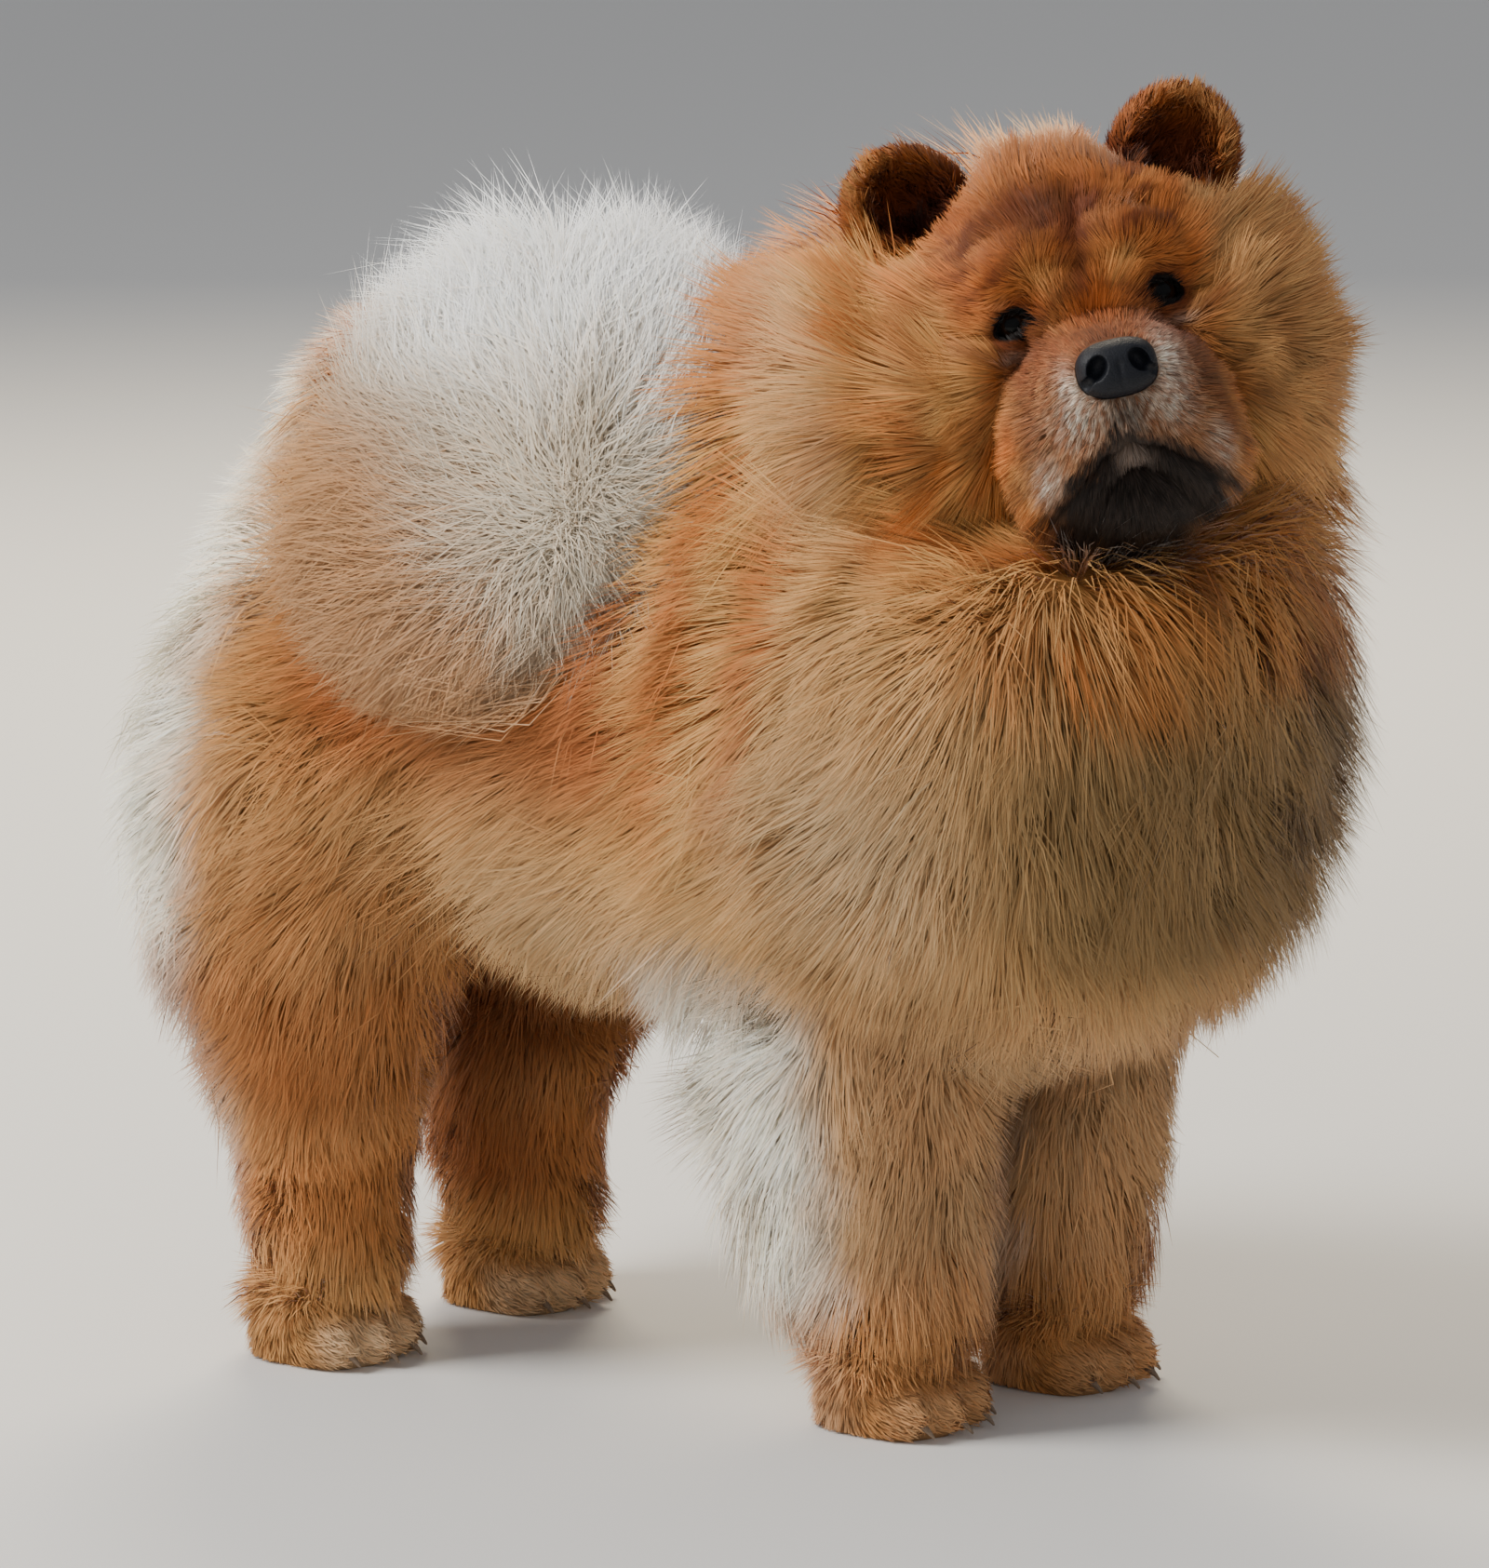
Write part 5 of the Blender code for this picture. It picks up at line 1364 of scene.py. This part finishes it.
def leave_room_for_ears(p, length):
    """Shorter coat on the crown and in front of the ears."""
    q, x, y, z = head_parts(p)
    near = np.sqrt((y - EAR_AT.y) ** 2 + (z - EAR_AT.z) ** 2)
    room = 0.013 + 0.9 * np.maximum(near - 0.033, 0)
    before = rise(-0.096, -0.082, x) * rise(0.01, 0.03, z)
    length = np.minimum(length, room + (1 - before) * 0.2)
    length = length * (1 - 0.56 * rise(0.075, 0.115, q[:, 1]) * rise(-0.05, 0.03, z))
    crown = rise(-0.088, -0.070, x) * rise(0.02, 0.045, z) * rise(0.095, 0.075, y)
    return np.minimum(length, 0.031 + (1 - crown) * 0.2)


LONGEST = 0.11


def under_chin(p):
    """Near 1 on the throat and the front of the chest just under it."""
    q = to_head(p)
    height = rise(-0.116, -0.150, q[:, 2]) * rise(-0.300, -0.200, q[:, 2])
    return height * rise(0.130, 0.070, np.abs(q[:, 1])) * rise(-0.14, -0.08, q[:, 0])


def body_fur(skin, hull, forms, material, count=272000, seed=40):
    """The standing coat of everything but the face, ears and feet, up to the coat's surface."""
    rng = np.random.default_rng(seed)
    plume = forms["plume"][0]

    def weight(p):
        q = to_head(p)
        face = rise(-0.05, -0.035, q[:, 0]) * (in_face(p) > 0)
        bare = (near_ear(p) > 0.4) | (p[:, 2] < 0.034)
        hidden = plume.holds(p, 0.006) & (p[:, 1] > -0.30)
        low = rise(0.22, 0.16, p[:, 2])
        return (1 - face) * (1 - bare) * (1 - 0.8 * hidden) * (1 + 0.35 * low)

    roots, normals = skin.sample(count, weight, rng)
    lie = flatten(lie_of(roots), normals)
    loose = 0.32 * swirl(roots, 0.080, seed + 1) + 0.24 * swirl(roots, 0.030, seed + 5)
    own = 0.12 * rng.normal(size=roots.shape)
    fall = (0.46 + 0.25 * rise(0.20, 0.10, roots[:, 2]))[:, None]
    start = unit(normals + 0.45 * lie + loose + own)
    end = unit(normals * (1 - fall) + lie * (0.40 + fall) + loose + own * 1.6)
    throat = under_chin(roots) * 0.75
    start = unit(mix(start, 0.70 * normals + np.array([0.26, -0.21, -0.46]) + loose * 1.3 + own, throat))
    end = unit(mix(end, np.array([0.12, -0.08, -1.0]) + loose * 1.3 + own, throat))
    middle = (start + end) / 2
    chord = np.linalg.norm(middle, axis=1)
    free = hull.reach(roots, unit(middle), LONGEST, 0.006)
    deep = hull.reach(roots, normals, LONGEST, 0.006)
    blocked = skin.reach(roots + normals * 0.002, unit(middle), LONGEST, LONGEST)
    length = np.minimum(np.minimum(free, deep * 2.1), blocked * 0.85) / chord
    length = leave_room_for_ears(roots, length * (1 + 0.13 * relief(roots)))
    length *= rng.uniform(0.72, 1.10, count)
    length *= 1 + 0.28 * rise(0.24, 0.15, roots[:, 2]) * rise(0.0, 0.03, roots[:, 0])
    clear = rise(0.15, 0.05, near_ear(roots))
    low = np.maximum(1.3 * rise(0.110, 0.075, roots[:, 2]), 0.7 * clear)
    length = np.maximum(length, rng.uniform(0.012, 0.026, count) * low)
    tufts = Tufts(bent(roots, start, end, length), normals)
    tufts.gather(30, 0.16, rng)
    tufts.keep((length > 0.004) & ~near_ear_path(tufts.points))
    share_out(tufts, forms, material, rng)


def near_ear_path(points):
    """Whether a tuft that starts before or beside an ear runs over it."""
    q = to_head(points[:, 0])
    return (near_ear(points[:, -1]) > 0.5) & (q[:, 0] > -0.095)


GROUPS = {
    "torso": ("coat_torso", "coat_body"),
    "neck": ("coat_mane", "coat_mane"),
    "plume": ("coat_croup", "coat_tail"),
    "tail_root": ("coat_tail_root", "coat_tail"),
    "thigh_right": ("coat_thigh_right", "coat_leg"),
    "thigh_left": ("coat_thigh_left", "coat_leg"),
    "hindleg_right": ("coat_hindleg_right", "coat_leg"),
    "hindleg_left": ("coat_hindleg_left", "coat_leg"),
    "foreleg_right": ("coat_foreleg_right", "coat_leg"),
    "foreleg_left": ("coat_foreleg_left", "coat_leg"),
    "head": ("coat_ruff", "coat_face"),
}


def share_out(tufts, forms, material, rng):
    """Gives each tuft to the part whose skin its root is on, and meshes each part's tufts."""
    skins = {name: skin for name, (_, skin) in forms.items()}
    skins["head"] = cranium_form(0.006)
    found = {name: skin.locate(tufts.points[:, 0]) for name, skin in skins.items()}
    names = list(skins)
    nearest = np.argmin([np.abs(found[name][2]) for name in names], axis=0)
    for k, name in enumerate(names):
        mine = nearest == k
        if not mine.any():
            continue
        part = Tufts(tufts.points[mine], tufts.normals[mine])
        part.clump = tufts.clump[mine]
        u, v = found[name][0][mine], found[name][1][mine]
        unwrap = np.stack([v / math.tau % 1, u], axis=1)
        label, slot = GROUPS[name]
        part.emit(label, material, 0.00082, unwrap, rng, root=0.90)


def plume_fur(material, count=66000, seed=50):
    """Long hair that runs out from the plume's tip over its two faces, and past its edge."""
    rng = np.random.default_rng(seed)
    angle = rng.uniform(-math.pi, math.pi, count)
    face = np.where(rng.uniform(0, 1, count) < 0.78, 1.0, -1.0)
    start = 0.125 * rng.uniform(0, 1, count) ** 0.80
    place = np.stack([np.cos(angle) * start, np.sin(angle) * start, face], axis=1)
    angle0 = angle + 1.3 * np.exp(-start / 0.030) * rng.normal(size=count)
    bend = 0.34 * wander(place, 0.05, seed + 1) + 0.12 * rng.normal(size=count)
    reach = rng.uniform(0.050, 0.115, count) * (1 + 0.15 * wander(place, 0.03, seed + 2))
    shares = SHARES[None, :]
    far = start[:, None] + reach[:, None] * shares
    turned = angle0[:, None] + bend[:, None] * shares**2
    edge = edge_of_plume(angle0 + bend) * uneven_edge(angle0 + bend) * rng.uniform(0.84, 1.06, count)
    far *= np.minimum(1.0, edge / far[:, -1])[:, None]
    scatter = 0.016 * np.exp(-start / 0.045)[:, None, None] * rng.normal(size=(count, 1, 2))
    along = np.cos(turned) * far + scatter[..., 0]
    across = np.sin(turned) * far + scatter[..., 1]
    width = np.interp(along, PLUME[:, 0], PLUME[:, 1])
    dome = np.sqrt(np.clip(1 - (across / np.maximum(width, 0.001)) ** 2, 0, 1))
    sizes = [np.interp(along, PLUME[:, 0], PLUME[:, k]) for k in (2, 3)]
    sign = face[:, None]
    height = np.where(sign > 0, sizes[0], sizes[1]) * dome
    depth = rng.uniform(0.55, 1.04, count)[:, None] * (1 + 0.05 * wander(place, 0.025, seed + 3))[:, None]
    lifted = height * (0.35 + (depth - 0.35) * shares**0.6)
    points = (
        np.array(PLUME_TIP)
        + along[..., None] * np.array(PLUME_AWAY)
        + across[..., None] * np.array(PLUME_ACROSS)
        + (lifted * sign)[..., None] * np.array(PLUME_OUT)
    )
    points += (0.012 * rng.normal(size=(count, 1, 3))) * (shares**2)[..., None] * 0.5
    tufts = Tufts(points, np.array(PLUME_OUT) * sign, plume_tint)
    tufts.gather(24, 0.26, rng)
    unwrap = np.stack([angle / math.tau % 1, start / 0.13], axis=1)
    tufts.emit("coat_plume", material, 0.00074, unwrap, rng, root=0.90, tip=1.10)


def uneven_edge(angle):
    """The plume's own outline against an even one, by the angle round its tip."""
    turn = np.degrees((angle + math.pi) % math.tau - math.pi)
    bumps = ((38, 16, -0.05), (76, 16, 0.07), (-4, 14, 0.06))
    return 1 + sum(size * np.exp(-(((turn - at) / wide) ** 2)) for at, wide, size in bumps)


def edge_of_plume(angle):
    """How far the plume's outline is from its tip, at an angle round it."""
    low, high = np.zeros_like(angle), np.full_like(angle, 0.30)
    for _ in range(20):
        middle = (low + high) / 2
        along, across = np.cos(angle) * middle, np.sin(angle) * middle
        width = np.interp(along, PLUME[:, 0], PLUME[:, 1], left=-1, right=-1)
        outside = np.abs(across) >= width
        high = np.where(outside, middle, high)
        low = np.where(outside, low, middle)
    return low


def face_fur(skin, hull, face_hull, material, count=113000, seed=70):
    """Short fur of the face: velvet on the muzzle, longer over the brows and cheeks."""
    rng = np.random.default_rng(seed)

    def weight(p):
        q, x, y, z = head_parts(p)
        dense = 0.6 + 0.9 * rise(-0.02, 0.02, x) + 1.0 * rise(0.02, 0.05, x)
        dense *= rise(-0.080, -0.060, x) * (in_face(p) > 0)
        dense *= eye_gap(q) > EYE_RADIUS + 0.0012
        nose = np.sqrt((y / 0.0210) ** 2 + ((z - NOSE_AT.z) / 0.0155) ** 2)
        dense *= ~((nose < 1) & (x > 0.055))
        return dense * (near_ear(p) < 0.35)

    roots, normals = skin.sample(count, weight, rng)
    q, x, y, z = head_parts(roots)
    eye = eye_gap(q)
    muzzle = rise(0.0, 0.020, x) * rise(0.062, 0.046, y) * rise(0.004, -0.016, z)
    flow = unit(flatten(roots - from_head(np.array([FACE_PARTING])), normals))
    loose = 0.50 * swirl(roots, 0.030, seed + 1) * (1 - 0.55 * muzzle)[:, None]
    flow = unit(flatten(flow + loose + 0.16 * rng.normal(size=flow.shape), normals))
    hood = spot(np.stack([y, z], -1), (EYE_APART / 2 + 0.001, 0.0130), (0.013, 0.0050)) * rise(-0.02, 0.0, x)
    outward = np.stack([np.full(count, 0.3), np.sign(q[:, 1]) * 0.8, np.full(count, -0.75)], axis=1)
    outward = outward @ HEAD_TURNED.T
    flow = unit(mix(flow, outward, hood))

    beside = rise(0.038, 0.056, y) * rise(0.0, -0.035, z)
    length = 0.015 + 0.014 * rise(0.045, 0.090, y) + 0.009 * rise(0.025, 0.065, z)
    length += 0.012 * rise(-0.01, -0.06, x)
    length += 0.008 * beside
    beard = rise(-0.080, -0.098, z) * rise(0.052, 0.036, y)
    velvet = 0.0090 + 0.0045 * rise(-0.055, -0.085, z) + 0.0035 * rise(-0.035, -0.015, z)
    length = length * (1 - muzzle) + velvet * muzzle
    from_nose = np.abs(z - NOSE_AT.z) - 0.014
    length *= 1 - 0.45 * rise(0.012, 0.004, from_nose) * rise(0.030, 0.022, y) * rise(0.055, 0.065, x)
    stop = rise(0.034, 0.016, y) * rise(-0.026, -0.012, z) * rise(0.016, 0.002, z) * rise(0.050, 0.036, x)
    fold = rise(0.034, 0.044, y) * rise(0.070, 0.056, y) * rise(0.004, -0.014, z)
    deep = np.maximum(stop, fold) * rise(0.016, 0.026, eye)
    length = length + 0.012 * deep + 0.011 * beard
    length *= 0.32 + 0.68 * rise(0.0125, 0.032, eye)
    length = np.maximum(length, 0.0095 * hood)
    length *= 1 - 0.35 * crease_at(q)[1]
    lift = np.radians(42 + 14 * rise(0.01, -0.05, x)) * (1 - muzzle)
    lift += np.radians(29 + 12 * rise(0.028, 0.045, y)) * muzzle
    high = rise(0.030, 0.060, z) * rise(0.095, 0.075, y)
    lift += (np.radians(58) - lift) * np.maximum(deep, 0.9 * high)
    lift += (np.radians(50) - lift) * beard
    lift = (lift * rng.uniform(0.75, 1.2, count))[:, None]
    start = raised(flow, normals, lift)
    end = raised(flow, normals, lift * 0.55)
    middle = (start + end) / 2
    chord = np.linalg.norm(middle, axis=1)
    near = face_hull.reach(roots, unit(middle), 0.05, 0.05) / chord
    length = np.minimum(length, np.maximum(near, 0.6 * length))
    free = hull.reach(roots, unit(middle), LONGEST, 0.0) / chord
    outer = np.clip(rise(0.050, 0.085, y) + rise(-0.010, -0.050, x), 0, 1) * (1 - muzzle) * (free > 0.004)
    length += (np.minimum(free, 0.055) - length) * outer
    length = leave_room_for_ears(roots, length) * rng.uniform(0.74, 1.12, count)
    length *= 1 + 0.24 * relief(roots) * (1 - 0.7 * muzzle) * (1 + 0.6 * np.maximum(high, beard))
    tufts = Tufts(bent(roots, start, end, length), normals)
    tufts.gather(20, 0.26, rng)
    tufts.keep(~near_ear_path(tufts.points))
    q = to_head(tufts.points[:, 0])
    turn = np.arctan2(q[:, 2] + 0.02, q[:, 1])
    unwrap = np.stack([turn / math.tau % 1, np.clip(0.5 - q[:, 0] * 3, 0, 1)], axis=1)
    width = 0.00045 + 0.00038 * rise(0.02, -0.03, q[:, 0])
    fine = rise(0.010, 0.030, q[:, 0])
    tufts.emit("coat_face", material, width, unwrap, rng, 0.66, 1.14, 0.10 + 0.14 * fine, 0.06)


def eye_gap(q):
    """The distance from the nearer eye's centre, in the head's own frame."""
    return np.sqrt((np.abs(q[:, 1]) - EYE_APART / 2) ** 2 + q[:, 2] ** 2 + (q[:, 0] - EYE_IN) ** 2)


def in_cup(q):
    """Near 1 on the hollow side of an ear, in the head's own frame."""
    inside = np.zeros(len(q))
    for side in (RIGHT, LEFT):
        centre = ear_centre(side) + Vector((CUP_AHEAD.x, CUP_AHEAD.y * side, CUP_AHEAD.z))
        turned = (q - np.array(centre)) @ np.array(ear_turn(side))[:3, :3]
        away = np.linalg.norm(turned / (np.array(CUP_RADII) + 0.002), axis=1)
        inside = np.maximum(inside, rise(1.16, 1.05, away))
    return inside


def ear_fur(skin, material, count=22000, seed=80):
    """Thick fur that runs up the ears, and longer hair that stands forward out of their hollows."""
    rng = np.random.default_rng(seed)
    roots, normals = skin.sample(count, lambda p: (near_ear(p) > 0.3) * 1.0, rng)
    q = to_head(roots)
    side = np.sign(q[:, 1])
    root_of_ear = np.stack([np.full(count, -0.074), 0.052 * side, np.full(count, 0.036)], axis=1)
    flow = unit(flatten(roots - from_head(root_of_ear), normals))
    flow = flow + 0.25 * swirl(roots, 0.02, seed + 1) + 0.22 * rng.normal(size=flow.shape)
    flow = unit(flatten(flow, normals))
    length = 0.0090 * rng.uniform(0.6, 1.35, count)
    lift = (np.radians(32) * rng.uniform(0.5, 1.5, count))[:, None]
    start = raised(flow, normals, lift)
    end = unit(start + 0.4 * flow)
    cup = in_cup(q)
    out = np.stack([np.full(count, 0.85), 0.30 * side, np.full(count, 0.40)], axis=1)
    out = out @ HEAD_TURNED.T + 0.22 * rng.normal(size=(count, 3))
    start = unit(mix(start, normals * 0.5 + out, cup))
    end = unit(mix(end, out + 0.5 * swirl(roots, 0.015, seed + 4), cup))
    length = length * (1 - cup) + rng.uniform(0.012, 0.023, count) * cup
    tufts = Tufts(bent(roots, start, end, length), normals)
    tufts.gather(14, 0.35, rng)
    unwrap = np.stack([0.5 + q[:, 1] * 4, 0.5 + (q[:, 2] - 0.06) * 5], axis=1).clip(0, 1)
    tufts.emit("coat_ears", material, 0.00060, unwrap, rng, 0.62, 1.15, 0.14, 0.10)


def foot_gap(p):
    """The vector from the nearest foot's middle, on the floor."""
    feet = np.array([foot for _, foot in all_feet()])
    away = p[:, None, :2] - feet[None]
    nearest = np.linalg.norm(away, axis=2).argmin(axis=1)
    return away[np.arange(len(p)), nearest]


def paw_fur(skin, material, count=27000, seed=90):
    """Fur over the feet that lies towards the toes, longer at the heel."""
    rng = np.random.default_rng(seed)

    def weight(p):
        return (p[:, 2] < 0.060) * (p[:, 2] > 0.003) * (np.linalg.norm(foot_gap(p), axis=1) < 0.075) * 1.0

    roots, normals = skin.sample(count, weight, rng)
    away = foot_gap(roots)
    heel = rise(0.012, -0.020, away[:, 0])
    high = rise(0.024, 0.040, roots[:, 2])
    toward = np.stack([1.2 - 1.3 * heel, np.sign(away[:, 1]) * 0.2, -0.35 - 1.3 * heel], axis=1)
    toward = mix(toward, np.array([0.25, 0.0, -1.0]), high)
    flow = unit(flatten(toward + 0.25 * rng.normal(size=roots.shape), normals))
    length = (0.0080 + 0.005 * heel + 0.015 * high) * rng.uniform(0.6, 1.25, count)
    lift = (np.radians(17 + 6 * heel) * rng.uniform(0.6, 1.4, count))[:, None]
    start = raised(flow, normals, lift)
    tufts = Tufts(bent(roots, start, unit(start + 0.4 * flow), length), normals)
    tufts.gather(12, 0.2, rng)
    unwrap = np.stack([0.5 + roots[:, 1] * 2.5, 0.5 + roots[:, 0] * 1.6], axis=1).clip(0, 1)
    tufts.emit("coat_paws", material, 0.00070, unwrap, rng, 0.85, 1.08, 0.07, 0.04)


# Skin, eyes, nose and claws


def finish_piece(obj, name, material, replaced=()):
    """Moves the piece onto the frame, names it, gives it its material and hides the solids it stands for."""
    obj.name = name
    obj.data.name = name
    obj.data.transform(Matrix.Translation(SHIFT))
    obj.data.materials.clear()
    obj.data.materials.append(material)
    obj.data.shade_smooth()
    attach(obj, "root")
    if replaced:
        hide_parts(*replaced)


# The solids that the skin stands for
PAIRED = ("ear", "thigh", "hindleg", "hindpaw", "foreleg", "forepaw")
FLESH = ["torso", "neck", "head", "tail"] + [f"{part}_{word}" for part in PAIRED for _, word in SIDES]
HULL_SWELL = 0.004  # makes up for what the smoothing takes away


def make_hull(forms):
    """The surface that the tips of the coat reach, one smooth whole over every part."""
    coats = [coat.mesh() for name, (coat, _) in forms.items() if name != "plume"]
    ruff = ellipsoid((-0.020, 0, -0.125), (0.080, 0.118, 0.066), HEAD)
    hull = melt(coats + [cheek_coat().mesh(), ruff], HULL_VOXEL, 16)
    set_places(hull, places(hull) + HULL_SWELL * normals_of(hull))
    return hull


def make_face_hull():
    """The surface that the fur of the face reaches: the stop and the folds filled, the cheeks full."""
    pieces = [cranium_form(-0.010).mesh(), muzzle_form(-0.006).mesh()]
    pieces.append(ellipsoid((0.018, 0, -0.020), (0.042, 0.032, 0.028), HEAD))
    paired = (
        ((0.036, 0.024, -0.066), (0.046, 0.037, 0.044)),
        ((0.002, 0.026, 0.024), (0.032, 0.036, 0.030)),
        ((-0.012, 0.072, -0.046), (0.056, 0.052, 0.066)),
        ((-0.012, 0.050, -0.100), (0.054, 0.056, 0.050)),
    )
    for side in (RIGHT, LEFT):
        for (x, y, z), radii in paired:
            pieces.append(ellipsoid((x, y * side, z), radii, HEAD))
    pieces.append(ellipsoid((0.020, 0, -0.092), (0.052, 0.042, 0.032), HEAD))
    return melt(pieces, FACE_HULL_VOXEL, 14)


def make_eyes():
    for side, word in SIDES:
        centre = HEAD @ eye_centre(side)
        ahead = (HEAD.to_3x3() @ (eye_turn(side).to_3x3() @ Vector((1, 0, 0)))).normalized()
        eye = ellipsoid(centre, (EYE_RADIUS,) * 3, None, None, 48, 32)
        points = places(eye)
        away = unit(points - np.array(centre))
        bulge = 0.0005 * rise(0.55, 1.0, away @ np.array(ahead))
        set_places(eye, points + away * bulge[:, None])
        finish_piece(eye, "eyeball_" + word, eye_material(centre + SHIFT, ahead), ["eye_" + word])


def make_nose():
    """The pad, with round nostrils, side slits and the groove between them, worn soft."""
    x, y, z = NOSE_AT
    nose = nose_form().mesh(36, 48)
    cuts = []
    for side in (RIGHT, LEFT):
        turn = Matrix.Rotation(0.55 * side, 4, "X")
        nostril = (x + 0.0150, y + 0.0108 * side, z + 0.0014)
        cuts.append(ellipsoid(nostril, (0.0085, 0.0050, 0.0066), HEAD, turn))
        slit = [
            (x + 0.0135, y + 0.0125 * side, z - 0.0015),
            (x + 0.0115, y + 0.0160 * side, z - 0.0045),
            (x + 0.0070, y + 0.0195 * side, z - 0.0060),
        ]
        cuts.append(tube(slit, 0.0029, HEAD))
    line = [(x + 0.0178, y, z + 0.002), (x + 0.0184, y, z - 0.006), (x + 0.0150, y, z - 0.015)]
    cuts.append(tube(line, 0.0019, HEAD))
    nose = melt([boolean(nose, cuts, "DIFFERENCE")], NOSE_VOXEL, 6)
    leather = bumpy_material("nose_leather", SLATE * 0.40, SLATE * 0.75, 0.54, 1100.0, 0.0003)
    finish_piece(nose, "nose_pad", leather, ["nose"])


def make_claws():
    horn = bumpy_material("claw_horn", srgb(92, 76, 62), srgb(140, 120, 100), 0.38, 900.0, 0.0001,
                          coat=0.1, pattern="TexNoise")
    for name, (x, y) in all_feet():
        claws = []
        for across, ahead in TOE_PLACES:
            root = Vector((x + ahead + TOE[0] - 0.009, y + across, CLAW_HEIGHT + 0.002))
            line = [root + Vector((0.0024 * k, 0, -0.00026 * k * k)) for k in range(6)]
            claws.append(tube(line, [0.0023, 0.0023, 0.0021, 0.0018, 0.0013, 0.0007], None, 12))
        finish_piece(joined("claws", claws), "claws_" + name, horn)


# The stage


def make_stage():
    """A pale floor out to the horizon, soft lights and the photograph's camera."""
    bm = bmesh.new()
    bmesh.ops.create_circle(bm, cap_ends=True, segments=64, radius=40)
    floor = object_from("floor", bm)
    pale = Shading("floor")
    pale.put(pale.shader, {"Base Color": (0.72, 0.71, 0.69, 1), "Roughness": 0.9})
    floor.data.materials.append(pale.material)

    world = bpy.data.worlds.new("studio")
    bpy.context.scene.world = world
    world.use_nodes = True
    sky = world.node_tree.nodes["Background"].inputs
    sky["Color"].default_value = (0.84, 0.86, 0.90, 1)
    sky["Strength"].default_value = 0.46

    middle = Vector((0, 0, 0.35))
    lamps = (
        ("key", (-1.9, -2.1, 2.9), 1.6, 190, (1.0, 0.97, 0.92)),
        ("fill", (2.6, -3.4, 2.6), 2.4, 22, (1.0, 0.96, 0.90)),
        ("rim", (-1.8, 2.6, 2.8), 1.8, 165, (1.0, 0.87, 0.66)),
    )
    for name, place, size, power, colour in lamps:
        light = bpy.data.lights.new(name, "AREA")
        light.size = size
        light.energy = power
        light.color = colour
        lamp = bpy.data.objects.new(name, light)
        lamp.location = place
        lamp.visible_glossy = name != "fill"
        lamp.rotation_euler = (middle - Vector(place)).to_track_quat("-Z", "Y").to_euler()
        bpy.context.scene.collection.objects.link(lamp)

    a, e = CAMERA_TURN, CAMERA_RAISE
    back = Vector((math.sin(a) * math.cos(e), -math.cos(a) * math.cos(e), math.sin(e)))
    across = Vector((math.cos(a), math.sin(a), 0))
    up = back.cross(across)
    right = (ORIGIN_PIXEL[0] - IMAGE[0] / 2) / FOCAL_PIXELS * CAMERA_FAR
    above = -(ORIGIN_PIXEL[1] - IMAGE[1] / 2) / FOCAL_PIXELS * CAMERA_FAR
    data = bpy.data.cameras.new("camera")
    data.sensor_width = SENSOR
    data.lens = SENSOR * FOCAL_PIXELS / max(IMAGE)
    data.clip_end = 100
    camera = bpy.data.objects.new("camera", data)
    camera.location = back * CAMERA_FAR - across * right - up * above + SHIFT
    camera.rotation_euler = back.to_track_quat("Z", "Y").to_euler()
    bpy.context.scene.collection.objects.link(camera)
    bpy.context.scene.camera = camera


def build():
    forms = body_forms()
    skin = boolean(body_skin(forms), [head_skin()], "UNION")
    ground = Surface(skin)
    hull = make_hull(forms)
    reach = Surface(hull)
    bpy.data.objects.remove(hull)
    long_coat = coat_material("coat", grain=900.0)
    short_coat = coat_material("short_coat", sheen=0.10, grain=1500.0)
    face_hull = make_face_hull()
    near_reach = Surface(face_hull)
    bpy.data.objects.remove(face_hull)
    face_fur(ground, reach, near_reach, short_coat)
    ear_fur(ground, short_coat)
    paw_fur(ground, short_coat)
    body_fur(ground, reach, forms, long_coat)
    plume_fur(long_coat)
    # the skin painted darker than the coat over it: painted shade under the coat
    paint(skin.data, coat_tint(ground.points) * 0.62)
    hide = coat_material("skin", roughness=0.60, sheen=0.0, grain=1800.0)
    finish_piece(skin, "skin", hide, FLESH)
    make_eyes()
    make_nose()
    make_claws()
    make_stage()


build()
